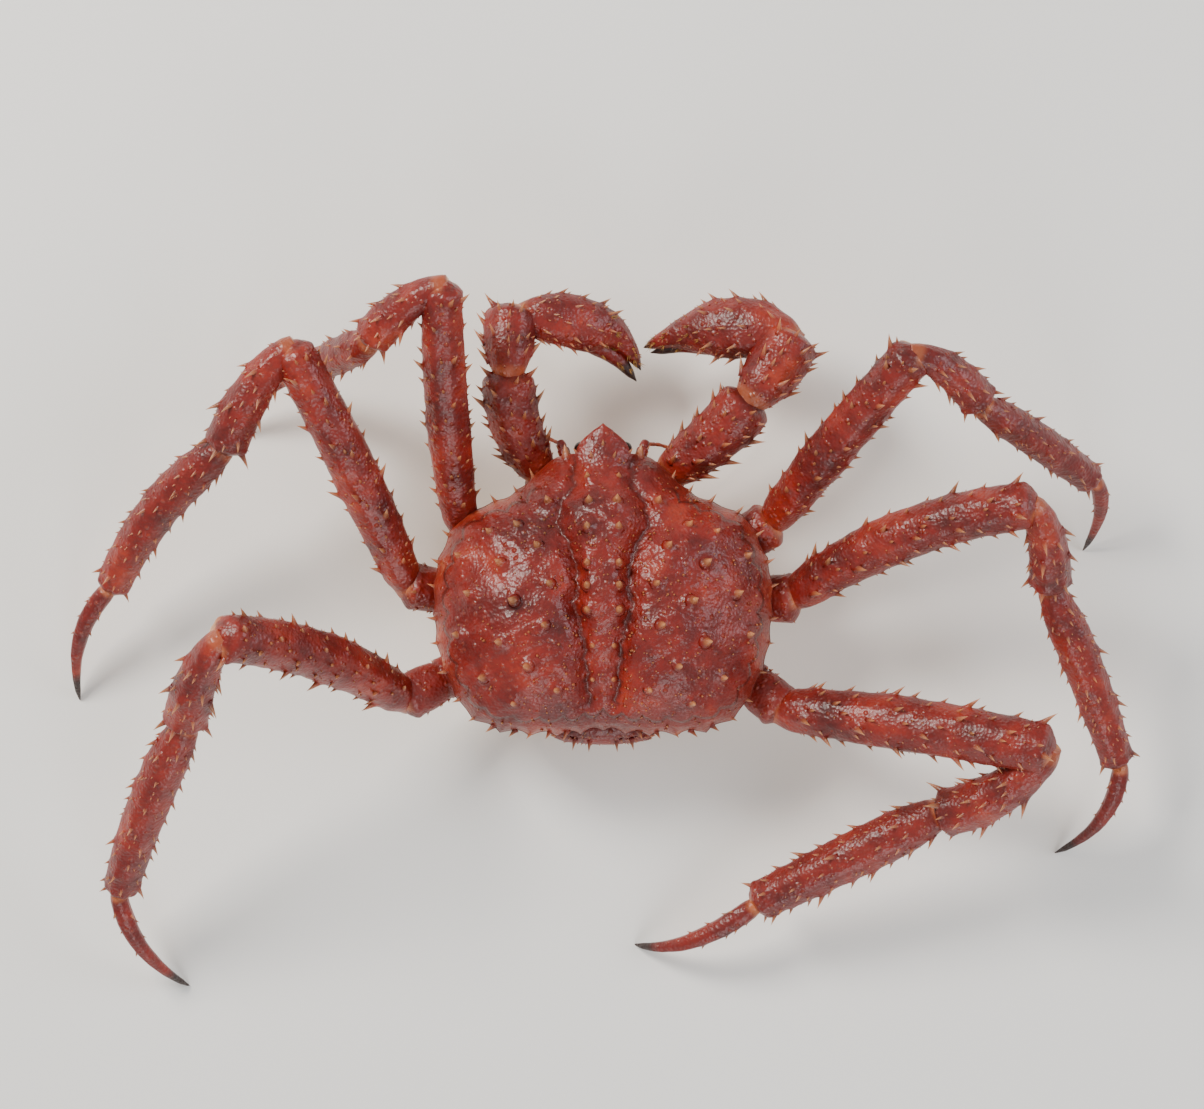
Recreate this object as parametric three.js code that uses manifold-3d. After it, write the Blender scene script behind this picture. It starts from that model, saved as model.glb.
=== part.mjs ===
// A life-size red king crab, a large adult male, standing on the tips of its six walking legs.
// Millimetres, +Z up, +Y towards the head, +X to the crab's right. The floor is z = 0.
// Every length below is measured from the point of the floor under the carapace's centre.
import * as THREE from "three";
import { mergeVertices } from "three/addons/utils/BufferGeometryUtils.js";
import Module from "manifold-3d";

const wasm = await Module();
wasm.setup();

// Driving dimensions of the carapace
const HALF_WIDTH = 100;
const CROWN_Z = 112;
const MARGIN_Z = 72;
const UNDERSIDE_Z = 48;
const THORAX_TOP_Z = 47.6;
const THORAX_BELLY_Z = 24;
const ROSTRUM_TIP = [0, 103.5, 89];

// Joint gap between neighbouring plates of shell
const GAP = 0.35;

// Facets around a leg, and around the carapace
const LEG_SIDES = 10;
const CARAPACE_SPOKES = 40;

// Right half of the carapace's outline seen from above, front to rear, as [x, y]
const HALF_OUTLINE = [
  [0, 88], [14, 86], [27, 84], [42, 72], [55, 62], [70, 56], [85, 48], [94, 32],
  [99.5, 14], [HALF_WIDTH, -8], [97, -32], [89, -53], [77, -70], [58, -78.5], [25, -80], [0, -77],
];

// The groove that parts the gastric and cardiac fields from the branchial fields
const GROOVE = [[17, 84], [17, 68], [24, 56], [27, 46], [17, 27], [14, 8], [17, 0], [11, -24], [8, -60]];
const GROOVE_DEPTH = 5.5;
const GROOVE_REACH = 6;

// Swellings of the back as [x, y, reach across, reach along, rise]; x other than 0 is mirrored
const SWELLINGS = [
  [0, 46, 22, 28, 9],
  [0, 4, 13, 17, 6],
  [0, -48, 14, 26, -4],
  [52, -14, 32, 40, 9],
  [58, 38, 20, 14, 3],
];

// Spines of the back as [x, y, length]; x other than 0 is mirrored. The middle three pairs mark the species.
const BACK_SPINES = [
  [9, 72, 7], [8, 58, 9], [9, 43, 9], [9, 22, 8], [9, 9, 9], [9, -5, 9], [6, -26, 6], [6, -46, 5],
  [32, 58, 8], [50, 44, 8], [66, 40, 7], [38, 32, 9], [60, 22, 9], [84, 26, 8], [31, 10, 8], [52, 0, 10],
  [78, 4, 9], [34, -14, 8], [60, -24, 10], [85, -20, 8], [44, -38, 9], [70, -45, 8], [27, -52, 7], [52, -60, 7],
];
const MARGIN_SPINES_PER_SIDE = 11;
const REAR_SPINES_PER_SIDE = 6;

// Walking legs: joints from the body to the ground, how far each length bows off its straight line,
// and how stout each length is against the profiles below
const LEGS = {
  left_leg1: {
    joints: [[-63, 23, 44], [-83, 42, 58], [-92, 180, 146], [-134, 150, 123], [-186, 132, 38], [-221, 98, 0]],
    bows: [[0, 0, 0], [-3, 0, 5], [-3, 3, 3], [0, 0, 0], [-5, 4, 5]],
    girths: [0.9, 0.93, 0.9, 0.86, 0.88],
  },
  left_leg2: {
    joints: [[-79, 2, 42], [-116, 9, 58], [-180, 145, 130], [-219, 88, 109], [-291, 6, 46], [-315, -61, 0]],
    bows: [[0, 0, 2], [2.5, 0, 6], [-4, 3, 4], [-6, 5.5, 3], [-9, 4, 6]],
    girths: [1, 1, 1, 1, 1],
  },
  left_leg3: {
    joints: [[-74, -36, 42], [-118, -59, 58], [-216, -22, 176], [-240, -71, 128], [-286, -173, 50], [-249, -233, 0]],
    bows: [[0, 0, 2], [2, 9, 3], [-4, 2, 3], [-3, 1, 3], [-7.5, -4.5, 6]],
    girths: [1, 1.08, 1, 1.02, 1],
  },
  right_leg1: {
    joints: [[65, 23, 44], [100, 46, 58], [178, 141, 146], [218, 113, 120], [290, 70, 52], [289, 29, 0]],
    bows: [[0, 0, 2], [-1, 1, 5], [3, 4, 3], [1, 1, 3], [7, 3, 4]],
    girths: [1.02, 1, 0.86, 0.86, 0.88],
  },
  right_leg2: {
    joints: [[80, 0, 42], [114, 1, 58], [247, 54, 130], [260, 8, 92], [306, -98, 42], [272, -153, 0]],
    bows: [[0, 0, 2], [-5, 10.5, 4], [4, 2, 3], [2, 0, 3], [9, -5, 6]],
    girths: [1.05, 1.08, 0.95, 0.95, 0.95],
  },
  right_leg3: {
    joints: [[74, -36, 42], [106, -65, 58], [257, -87, 112], [198, -125, 72], [91, -180, 38], [19, -208, 0]],
    bows: [[0, 0, 2], [0, 3, 4], [4, -6, 0], [0, 0, 2], [-2, -10, 6]],
    girths: [1, 1.18, 1.1, 1.14, 1.08],
  },
};

// Chelipeds: joints to the wrist, then the curves of the palm with its fixed finger and of the movable finger
const CHELIPEDS = {
  left: {
    joints: [[-26, 56, 46], [-36, 76, 54], [-55, 133, 76], [-53, 171, 70]],
    bows: [[0, 0, 1], [-5.5, -2, 1], [-1, 0, 1]],
    girths: [0.9, 1, 1.04, 0.94, 0.94],
    palm: [[-54, 166, 70], [-30, 166, 67], [-8, 161.5, 60], [5, 157.5, 54], [15.5, 148, 49], [22.5, 136, 45]],
    finger: [[-19, 155, 60], [-4, 149.5, 55], [9, 142, 49], [20, 129.5, 44]],
  },
  right: {
    joints: [[26, 56, 46], [38, 76, 54], [86, 118, 76], [111, 155, 71]],
    bows: [[0, 0, 1], [2.5, -2, 1], [2, 0, 1]],
    girths: [0.9, 1.06, 1.2, 1.08, 1],
    palm: [[116, 149, 70], [94, 158, 68], [71, 160.5, 61], [53, 158.5, 55], [39, 155, 50], [24, 149.5, 45]],
    finger: [[83, 148, 59], [66, 150, 53], [48, 151, 48], [28, 146.5, 43]],
  },
};

// The small parts of the face on the right side, each as the points of its curve
const FACE = {
  eyestalk: [[8, 77, 64], [11, 83, 66], [12.5, 88.5, 66.5]],
  antennule: [[4.5, 79, 58], [5, 90, 56], [5.5, 96.5, 61]],
  antenna: [[20, 77, 59], [23, 87, 57.5], [25.5, 94, 54]],
  maxilliped: [[8, 57, 36], [10, 72, 40], [10.5, 83, 40], [9, 87.5, 33], [7, 83, 26]],
};
const FLAGELLA = {
  left: [[-24.5, 92, 55.5], [-31, 95, 48], [-42, 102, 41], [-52, 122, 36], [-57, 141, 33], [-57, 160, 31]],
  right: [[24.5, 92, 55.5], [32, 92, 48], [46, 90, 40], [66, 104, 36], [88, 127, 33], [104, 146, 32]],
};
const EYE_CENTRE = [13.2, 89.6, 66.6];
const EYE_RADIUS = 3.9;
const ORBIT_RADIUS = 6;

// Cross-sections as [share of length, width, height] for a leg of girth 1
const PROFILES = {
  ischium: [[0, 13, 13], [0.15, 20, 19], [0.45, 26, 23], [0.8, 28, 25], [1, 22, 20]],
  merus: [[0, 14, 14], [0.08, 22, 21], [0.4, 27, 27], [0.75, 26, 27], [0.955, 25, 25], [1, 13, 13]],
  carpus: [[0, 9, 9], [0.07, 16, 16], [0.25, 20, 21], [0.65, 25, 25], [0.92, 25, 24], [1, 14, 14]],
  propodus: [[0, 9, 9], [0.05, 17, 16], [0.22, 24, 21.5], [0.55, 23.5, 21.5], [0.94, 20, 18.5], [1, 12, 11]],
  dactylus: [[0, 6, 7], [0.07, 11, 12], [0.3, 11, 12.5], [0.6, 8, 9.5], [0.85, 4.6, 5.6], [1, 2.4, 3]],
  claw_merus: [[0, 12, 12], [0.08, 22, 20], [0.4, 28, 24], [0.88, 31, 26], [1, 19, 16]],
  claw_carpus: [[0, 13, 13], [0.15, 21, 21], [0.5, 29, 26], [0.88, 28, 25], [1, 17, 15]],
  palm: [[0, 13, 12], [0.08, 24, 20], [0.25, 33, 25], [0.45, 32, 24], [0.6, 21, 18], [0.8, 11, 11], [1, 1.6, 2]],
  movable_finger: [[0, 5, 8], [0.2, 11, 13], [0.5, 11, 11], [0.8, 8, 8], [1, 1.6, 1.8]],
  rostrum: [[0, 20, 10], [0.2, 34, 13], [0.4, 43, 14], [0.66, 33, 11], [0.84, 17, 7.5], [0.94, 7.5, 4.5], [1, 1.6, 1.6]],
  eyestalk: [[0, 5, 5], [0.5, 5.6, 5.6], [1, 4.6, 4.6]],
  antennule: [[0, 2.6, 2.6], [0.5, 2.6, 2.6], [1, 1, 1]],
  antenna: [[0, 5, 5], [0.35, 7.5, 7], [0.7, 6.5, 6], [1, 4, 4]],
  flagellum: [[0, 2.6, 2.6], [0.15, 2.5, 2.5], [0.35, 2.3, 2.3], [0.55, 2, 2], [0.8, 1.6, 1.6], [1, 1, 1]],
  maxilliped: [[0, 5, 6], [0.2, 8, 8], [0.5, 9, 7.5], [0.8, 7.5, 5.5], [1, 4, 3]],
  abdomen: [
    [0, 34, 8], [0.08, 40, 9], [0.16, 48, 9.5], [0.24, 54, 9.5], [0.34, 60, 9.5], [0.45, 63, 9.5],
    [0.6, 58, 9], [0.75, 46, 8.5], [0.87, 33, 7.5], [0.95, 21, 6], [1, 10, 4],
  ],
};

// Rows of spines on each kind of length: [angle round the section, count, first, last, length].
// Angle 0 is the crab's front side of a left leg, 90 the top, 180 the other side.
const SPINE_ROWS = {
  ischium: [[100, 1, 0.85, 0.85, 5]],
  merus: [[20, 4, 0.2, 0.9, 6.5], [70, 5, 0.14, 0.95, 7], [115, 4, 0.24, 0.86, 6], [165, 4, 0.16, 0.94, 6.5]],
  carpus: [[15, 3, 0.36, 0.9, 6.5], [70, 3, 0.34, 0.92, 6], [120, 2, 0.45, 0.8, 5], [165, 3, 0.38, 0.94, 7]],
  propodus: [[15, 4, 0.16, 0.94, 5], [70, 3, 0.22, 0.86, 4.5], [120, 2, 0.2, 0.7, 4], [168, 4, 0.12, 0.94, 5.5]],
  dactylus: [[40, 1, 0.16, 0.16, 2.8], [140, 1, 0.2, 0.2, 2.8]],
  claw_merus: [[10, 4, 0.25, 0.95, 7], [65, 3, 0.3, 0.88, 6], [115, 3, 0.22, 0.8, 6], [170, 4, 0.3, 0.97, 7]],
  claw_carpus: [[10, 3, 0.35, 0.9, 6], [65, 2, 0.4, 0.8, 5], [120, 2, 0.5, 0.85, 5], [170, 4, 0.25, 0.92, 7]],
  palm: [[10, 4, 0.12, 0.44, 5], [55, 3, 0.16, 0.46, 4.5], [125, 3, 0.12, 0.46, 4.5], [170, 5, 0.1, 0.56, 5]],
  movable_finger: [],
};
const SPINE_LEAN = 0.75;
const SPINE_SINK = 2.5;

const SHELL = { color: 0x8f2a1c, roughness: 0.5, metalness: 0 };
const BELLY = { color: 0xd9b48a, roughness: 0.55, metalness: 0 };
const CLAW_TIP = { color: 0x6e2118, roughness: 0.42, metalness: 0 };
const CORNEA = { color: 0x16100e, roughness: 0.15, metalness: 0 };
const FEELER = { color: 0xa8452b, roughness: 0.5, metalness: 0 };

const vector = (p) => new THREE.Vector3(...p);
const mirrored = (p) => [-p[0], ...p.slice(1)];
const UP = new THREE.Vector3(0, 0, 1);

// A repeatable draw between 0 and 1 for the natural unevenness of the spines
function draw(seed) {
  const wave = Math.sin(seed * 12.9898 + 4.1414) * 43758.5453;
  return wave - Math.floor(wave);
}

// Turns a closed three.js geometry into an exact solid
function solidOf(geometry) {
  const bare = geometry.index ? geometry.toNonIndexed() : geometry.clone();
  bare.deleteAttribute("normal");
  bare.deleteAttribute("uv");
  const merged = mergeVertices(bare, 1e-4);
  return new wasm.Manifold(
    new wasm.Mesh({
      numProp: 3,
      vertProperties: merged.attributes.position.array,
      triVerts: new Uint32Array(merged.index.array),
    }),
  );
}

// The largest closed piece of a solid
function largest(solid) {
  return solid.decompose().reduce((best, piece) => (piece.volume() > best.volume() ? piece : best));
}

function geometryOf(solid) {
  const mesh = solid.getMesh();
  const points = new Float32Array(mesh.numVert * 3);
  for (let i = 0; i < mesh.numVert; i += 1) {
    points.set(mesh.vertProperties.subarray(i * mesh.numProp, i * mesh.numProp + 3), i * 3);
  }
  const geometry = new THREE.BufferGeometry();
  geometry.setAttribute("position", new THREE.BufferAttribute(points, 3));
  geometry.setIndex(new THREE.BufferAttribute(mesh.triVerts, 1));
  return geometry;
}

// The centre and the sideways and upward directions of a limb's section at a share of its length
function sectionAt(limb, share) {
  const centre = limb.curve.getPoint(share);
  const along = limb.curve.getTangent(share).normalize();
  const side = limb.across?.clone() ?? new THREE.Vector3().crossVectors(limb.upward, along).normalize();
  const up = new THREE.Vector3().crossVectors(along, side).normalize();
  const rows = limb.profile;
  let after = rows.findIndex((row) => row[0] >= share - 1e-9);
  after = Math.max(after, 1);
  const [from, to] = [rows[after - 1], rows[after]];
  const blend = (share - from[0]) / (to[0] - from[0]);
  const width = (from[1] + (to[1] - from[1]) * blend) * limb.girth;
  const height = (from[2] + (to[2] - from[2]) * blend) * limb.girth;
  return { centre, along, side, up, width, height };
}

// A length of limb: a cylinder laid along its curve, swollen to its profile, and grown all round by some margin
function limbGeometry(limb, grown = 0) {
  const rings = limb.profile.length - 1;
  const geometry = new THREE.CylinderGeometry(1, 1, 1, limb.sides, rings);
  const position = geometry.attributes.position;
  for (let i = 0; i < position.count; i += 1) {
    const ring = Math.round((0.5 - position.getY(i)) * rings);
    const { centre, along, side, up, width, height } = sectionAt(limb, limb.profile[ring][0]);
    const end = (ring === rings) - (ring === 0);
    const point = centre
      .addScaledVector(side, position.getX(i) * (width / 2 + grown))
      .addScaledVector(up, position.getZ(i) * (height / 2 + grown))
      .addScaledVector(along, end * grown);
    position.setXYZ(i, point.x, point.y, point.z);
  }
  return geometry;
}

// A tapering spine standing on a point of the shell, its root sunk into it
function spineSolid(root, direction, length, sides = 3) {
  const radius = 0.9 + length * 0.24;
  const geometry = new THREE.ConeGeometry(radius, length + SPINE_SINK, sides);
  geometry.translate(0, (length - SPINE_SINK) / 2, 0);
  geometry.applyQuaternion(new THREE.Quaternion().setFromUnitVectors(new THREE.Vector3(0, 1, 0), direction));
  geometry.translate(root.x, root.y, root.z);
  return solidOf(geometry);
}

// Every length of limb, so that spines can be kept clear of the others
const limbs = [];

function makeLimb(name, kind, curve, girth = 1, sides = LEG_SIDES, upward = UP) {
  const limb = { name, kind, curve, girth, upward, sides, profile: PROFILES[kind] };
  limbs.push(limb);
  return limb;
}

// A curve from joint to joint: it starts a little inside its parent and ends a little past the next joint
function jointCurve(from, to, bow, back, past) {
  const [start, end] = [vector(from), vector(to)];
  const along = end.clone().sub(start).normalize();
  const middle = start.clone().add(end).multiplyScalar(0.5).addScaledVector(vector(bow), 2);
  return new THREE.QuadraticBezierCurve3(
    start.addScaledVector(along, -back),
    middle,
    end.addScaledVector(along, past),
  );
}

// Whether a point keeps a margin from every other limb, from the carapace over the legs, and from the floor
function isClear(point, owner, margin) {
  if (point.z < 3) return false;
  const overhead = Math.hypot(point.x, point.y) < outlineRadius(point.x, point.y) + margin;
  if (owner && overhead && point.z < MARGIN_Z + 8) return false;
  return limbs.every((limb) => {
    if (limb === owner) return true;
    return limb.samples.every(({ centre, radius }) => centre.distanceTo(point) > radius + margin);
  });
}

function limbSpines(limb, seed) {
  const spines = [];
  SPINE_ROWS[limb.kind].forEach(([angle, count, first, last, length], row) => {
    for (let i = 0; i < count; i += 1) {
      const wander = draw(seed + row * 17 + i * 3);
      const step = count > 1 ? (last - first) / (count - 1) : 0;
      const share = Math.min(first + step * (i + (wander - 0.5) * 0.3), 0.97);
      const turn = THREE.MathUtils.degToRad(angle + (wander - 0.5) * 14);
      const { centre, along, side, up, width, height } = sectionAt(limb, share);
      const outward = side.clone().multiplyScalar(-Math.cos(turn)).addScaledVector(up, Math.sin(turn));
      const root = centre
        .clone()
        .addScaledVector(side, (-Math.cos(turn) * width) / 2)
        .addScaledVector(up, (Math.sin(turn) * height) / 2);
      const tall = length * limb.girth * (0.8 + 0.4 * draw(seed + row * 5 + i * 11));
      const direction = outward.addScaledVector(along, SPINE_LEAN).normalize();
      const tip = root.clone().addScaledVector(direction, tall);
      const waist = root.clone().addScaledVector(direction, tall * 0.4);
      if (isClear(tip, limb, 1.5) && isClear(waist, limb, 2.8)) {
        spines.push(spineSolid(root, direction, tall));
      }
    }
  });
  return spines;
}

// Walking legs and chelipeds as curves
const LEG_KINDS = ["ischium", "merus", "carpus", "propodus", "dactylus"];
const BACK_STEP = [3, 5, 5, 4.5, 4];
const PAST_STEP = [3, 5, 2.5, 2.5, 0];

const walkingLegs = Object.entries(LEGS).map(([leg, { joints, girths, bows }]) =>
  LEG_KINDS.map((kind, i) => {
    const curve = jointCurve(joints[i], joints[i + 1], bows[i], BACK_STEP[i] * girths[i], PAST_STEP[i] * girths[i]);
    return makeLimb(`${leg}_${kind}`, kind, curve, girths[i]);
  }),
);

const smoothCurve = (points) => new THREE.CatmullRomCurve3(points.map(vector), false, "centripetal");

const CLAW_KINDS = ["ischium", "claw_merus", "claw_carpus"];
const chelipeds = Object.entries(CHELIPEDS).map(([side, { joints, bows, girths, palm, finger }]) => {
  const arm = CLAW_KINDS.map((kind, i) => {
    const curve = jointCurve(joints[i], joints[i + 1], bows[i], 4, 3);
    return makeLimb(`${side}_claw_${kind.replace("claw_", "")}`, kind, curve, girths[i]);
  });
  arm.push(makeLimb(`${side}_claw_palm`, "palm", smoothCurve(palm), girths[3]));
  const movable = makeLimb(`${side}_claw_finger`, "movable_finger", smoothCurve(finger), girths[4]);
  return { arm, movable };
});

// Small parts of the face, left and right
const SIDES = { left: -1, right: 1 };
const facePart = (side, kind, points, sides) => makeLimb(`${side}_${kind}`, kind, smoothCurve(points), 1, sides);
const faces = Object.keys(SIDES).map((side) => {
  const place = (points) => points.map(([x, y, z]) => [x * SIDES[side], y, z]);
  return {
    side,
    eyestalk: facePart(side, "eyestalk", place(FACE.eyestalk), 6),
    antennule: facePart(side, "antennule", place(FACE.antennule), 6),
    antenna: facePart(side, "antenna", place(FACE.antenna), 8),
    maxilliped: facePart(side, "maxilliped", place(FACE.maxilliped), 8),
    flagellum: facePart(side, "flagellum", FLAGELLA[side], 5),
  };
});

const SAMPLES_PER_LIMB = 24;
limbs.forEach((limb) => {
  limb.samples = Array.from({ length: SAMPLES_PER_LIMB + 1 }, (_, i) => {
    const { centre, width, height } = sectionAt(limb, i / SAMPLES_PER_LIMB);
    return { centre, radius: Math.max(width, height) / 2 };
  });
});

// The radius of the carapace's outline in a direction from its centre
const outlineCurve = new THREE.SplineCurve(HALF_OUTLINE.map(([x, y]) => new THREE.Vector2(x, y)));
const outlinePoints = outlineCurve.getPoints(120).map((p) => ({ angle: Math.atan2(p.x, p.y), radius: p.length() }));

function outlineRadius(x, y) {
  const angle = Math.atan2(Math.abs(x), y);
  const after = Math.max(1, outlinePoints.findIndex((p) => p.angle >= angle));
  const [from, to] = [outlinePoints[after - 1], outlinePoints[after]];
  const share = THREE.MathUtils.clamp((angle - from.angle) / (to.angle - from.angle), 0, 1);
  return from.radius + (to.radius - from.radius) * share;
}

function distanceToGroove(x, y) {
  let nearest = Infinity;
  for (let i = 1; i < GROOVE.length; i += 1) {
    const line = new THREE.Line3(new THREE.Vector3(...GROOVE[i - 1], 0), new THREE.Vector3(...GROOVE[i], 0));
    const point = new THREE.Vector3(Math.abs(x), y, 0);
    nearest = Math.min(nearest, line.closestPointToPoint(point, true, new THREE.Vector3()).distanceTo(point));
  }
  return nearest;
}

// Height of the carapace's back over a point of the plan
function backHeight(x, y) {
  const share = Math.min(Math.hypot(x, y) / outlineRadius(x, y), 1);
  let height = MARGIN_Z + (CROWN_Z - MARGIN_Z) * (1 - share ** 2.6) ** 0.62;
  const fade = 1 - share ** 6;
  for (const [cx, cy, across, along, rise] of SWELLINGS) {
    height += fade * rise * Math.exp(-(((Math.abs(x) - cx) / across) ** 2) - ((y - cy) / along) ** 2);
  }
  height -= fade * GROOVE_DEPTH * Math.exp(-((distanceToGroove(x, y) / GROOVE_REACH) ** 2));
  return height;
}

// A closed plate over the outline: rows of [share of the outline, height], from the top centre to the bottom centre
function plateGeometry(rows, spokes, shape) {
  const geometry = new THREE.SphereGeometry(1, spokes, rows.length - 1);
  const { position, uv } = geometry.attributes;
  for (let i = 0; i < position.count; i += 1) {
    const row = Math.round((1 - uv.getY(i)) * (rows.length - 1));
    const turn = Math.atan2(position.getZ(i), position.getX(i));
    const [x, y, z] = shape(Math.cos(turn), -Math.sin(turn), ...rows[row]);
    position.setXYZ(i, x, y, z);
  }
  return geometry;
}

const UNDER_ROWS = [[1, 0.5], [0.965, 0.2], [0.88, 0], [0, 0]];

function carapaceGeometry() {
  const top = [0, 0.11, 0.24, 0.37, 0.5, 0.62, 0.74, 0.85, 0.94, 1].map((share) => [share, null]);
  return plateGeometry([...top, ...UNDER_ROWS], CARAPACE_SPOKES, (cx, cy, share, rise) => {
    const reach = outlineRadius(cx, cy) * share;
    const [x, y] = [cx * reach, cy * reach];
    const under = UNDERSIDE_Z + (MARGIN_Z - UNDERSIDE_Z) * rise;
    return [x, y, rise === null ? backHeight(x, y) : under];
  });
}

function thoraxGeometry() {
  const rows = [[0, 1], [0.5, 1], [0.74, 1], [0.76, 0.7], [0.68, 0.35], [0.5, 0.08], [0.25, 0], [0, 0]];
  return plateGeometry(rows, 22, (cx, cy, share, rise) => {
    const reach = outlineRadius(cx, cy) * share;
    return [cx * reach * 0.98, cy * reach - 2, THORAX_BELLY_Z + (THORAX_TOP_Z - THORAX_BELLY_Z) * rise];
  });
}

function backSpines() {
  const spines = [];
  const place = (x, y, length, outwards, seed) => {
    const root = new THREE.Vector3(x, y, backHeight(x, y) - 0.4);
    const lean = new THREE.Vector3(x * 0.006, y * 0.004 + 0.12, 1).add(new THREE.Vector3(x, y, 0).setLength(outwards));
    const tall = length * (0.9 + 0.2 * draw(seed));
    spines.push(spineSolid(root, lean.normalize(), tall, 4));
  };
  BACK_SPINES.forEach(([x, y, length], i) => {
    place(x, y, length, 0.12, i);
    place(-x, y, length, 0.12, i + 50);
  });
  return spines;
}

// Spines that stand out round the carapace's edge, between the front corner and the rear
function marginSpines() {
  const spines = [];
  const ring = (count, first, last, length, seed) => {
    for (let i = 0; i < count; i += 1) {
      const angle = first + ((last - first) * (i + 0.2 * draw(seed + i))) / (count - 1);
      for (const side of [1, -1]) {
        const [cx, cy] = [side * Math.sin(angle), Math.cos(angle)];
        const reach = outlineRadius(cx, cy) - 1.5;
        const root = new THREE.Vector3(cx * reach, cy * reach, MARGIN_Z + 2);
        const direction = new THREE.Vector3(cx, cy + 0.15, 0.35).normalize();
        const tall = length * (0.85 + 0.3 * draw(seed + i * 3 + side));
        const tip = root.clone().addScaledVector(direction, tall);
        if (isClear(tip, null, 1)) spines.push(spineSolid(root, direction, tall));
      }
    }
  };
  ring(MARGIN_SPINES_PER_SIDE, 0.5, 2.15, 6.5, 200);
  ring(REAR_SPINES_PER_SIDE, 2.3, 2.86, 5.5, 260);
  return spines;
}

// The rostrum, a flat beak that runs out of the back over the eyes, with its two shoulder spines and the
// spines beside the orbits
const ROSTRUM_LINE = [[0, 57, 91], [0, 75, 88.5], [0, 91, 86.5], ROSTRUM_TIP];

function rostrumSolids() {
  const beak = { curve: smoothCurve(ROSTRUM_LINE), girth: 1, upward: UP, sides: 10, profile: PROFILES.rostrum };
  const solids = [solidOf(limbGeometry(beak))];
  for (const side of [1, -1]) {
    solids.push(spineSolid(vector([side * 21.5, 83, 77]), vector([side * 0.25, 1, 0.2]).normalize(), 8.5, 5));
    solids.push(spineSolid(vector([side * 6, 83, 91]), vector([side * 0.3, 0.8, 0.7]).normalize(), 6, 4));
  }
  return solids;
}

// The abdomen, folded forward under the thorax, with two spines on its first plate behind the carapace
const ABDOMEN_LINE = [
  [0, -62, 60], [0, -76, 58.5], [0, -81, 48], [0, -76, 33], [0, -58, 21.5], [0, -25, 19], [0, 8, 19.5], [0, 28, 21],
];
const abdomen = makeLimb("abdomen", "abdomen", smoothCurve(ABDOMEN_LINE));
abdomen.across = new THREE.Vector3(1, 0, 0);
abdomen.samples = [];
const ABDOMEN_SPINES = [[17, -83.5, 56], [8, -84.5, 55]];

const FLOOR_DEPTH = 60;
const floorBlock = solidOf(new THREE.BoxGeometry(1200, 1200, FLOOR_DEPTH).translate(0, 0, -FLOOR_DEPTH / 2));

const crab = new THREE.Group();

function addPart(name, solid, look) {
  const mesh = new THREE.Mesh(geometryOf(largest(solid)), new THREE.MeshStandardMaterial(look));
  mesh.name = name;
  crab.add(mesh);
}

const joined = (solids) => wasm.Manifold.union(solids);
const cavityFor = (limb) => solidOf(limbGeometry(limb, GAP));
const ball = (centre, radius, across, down) =>
  solidOf(new THREE.SphereGeometry(radius, across, down).translate(...centre));

// Legs: each length carries its spines, and is hollowed at its end for the rounded root of the next
walkingLegs.forEach((leg, legNumber) => {
  leg.forEach((limb, i) => {
    let solid = joined([solidOf(limbGeometry(limb)), ...limbSpines(limb, legNumber * 100 + i * 20)]);
    if (leg[i + 1]) solid = solid.subtract(cavityFor(leg[i + 1]));
    addPart(limb.name, solid.subtract(floorBlock), limb.kind === "dactylus" ? CLAW_TIP : SHELL);
  });
});

chelipeds.forEach(({ arm, movable }, number) => {
  arm.forEach((limb, i) => {
    let solid = joined([solidOf(limbGeometry(limb)), ...limbSpines(limb, 700 + number * 100 + i * 20)]);
    solid = solid.subtract(cavityFor(arm[i + 1] ?? movable));
    addPart(limb.name, solid, SHELL);
  });
  addPart(movable.name, solidOf(limbGeometry(movable)), CLAW_TIP);
});

// Body: the carapace and thorax give way to the roots of the limbs
const roots = [
  ...walkingLegs.flatMap((leg) => leg.slice(0, 2)),
  ...chelipeds.flatMap(({ arm }) => arm.slice(0, 2)),
  ...faces.flatMap(({ eyestalk, antennule, antenna, maxilliped }) => [eyestalk, antennule, antenna, maxilliped]),
  abdomen,
];
const eyeSpot = (side) => [EYE_CENTRE[0] * SIDES[side], EYE_CENTRE[1], EYE_CENTRE[2]];
const orbits = faces.map(({ side }) => ball(eyeSpot(side), ORBIT_RADIUS, 8, 6));
const rootCavities = joined([...roots.map(cavityFor), ...orbits]);
const carapace = joined([solidOf(carapaceGeometry()), ...backSpines(), ...marginSpines(), ...rostrumSolids()]);
addPart("carapace", carapace.subtract(rootCavities), SHELL);
addPart("thorax", solidOf(thoraxGeometry()).subtract(rootCavities), BELLY);

const abdomenSpines = ABDOMEN_SPINES.flatMap((p) =>
  [p, mirrored(p)].map((q) => spineSolid(vector(q), vector([q[0] * 0.01, -0.9, 0.25]).normalize(), 5)),
);
addPart("abdomen", joined([solidOf(limbGeometry(abdomen)), ...abdomenSpines]), BELLY);

// Face: each eye caps its stalk, each feeler is rooted in its antenna's base
faces.forEach(({ side, eyestalk, antennule, antenna, maxilliped, flagellum }) => {
  const socket = ball(eyeSpot(side), EYE_RADIUS + GAP, 10, 6);
  addPart(`${side}_eye`, ball(eyeSpot(side), EYE_RADIUS, 10, 6), CORNEA);
  addPart(eyestalk.name, solidOf(limbGeometry(eyestalk)).subtract(socket), SHELL);
  addPart(antenna.name, solidOf(limbGeometry(antenna)).subtract(cavityFor(flagellum)), SHELL);
  addPart(flagellum.name, solidOf(limbGeometry(flagellum)), FEELER);
  addPart(antennule.name, solidOf(limbGeometry(antennule)), FEELER);
  addPart(maxilliped.name, solidOf(limbGeometry(maxilliped)), BELLY);
});

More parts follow.
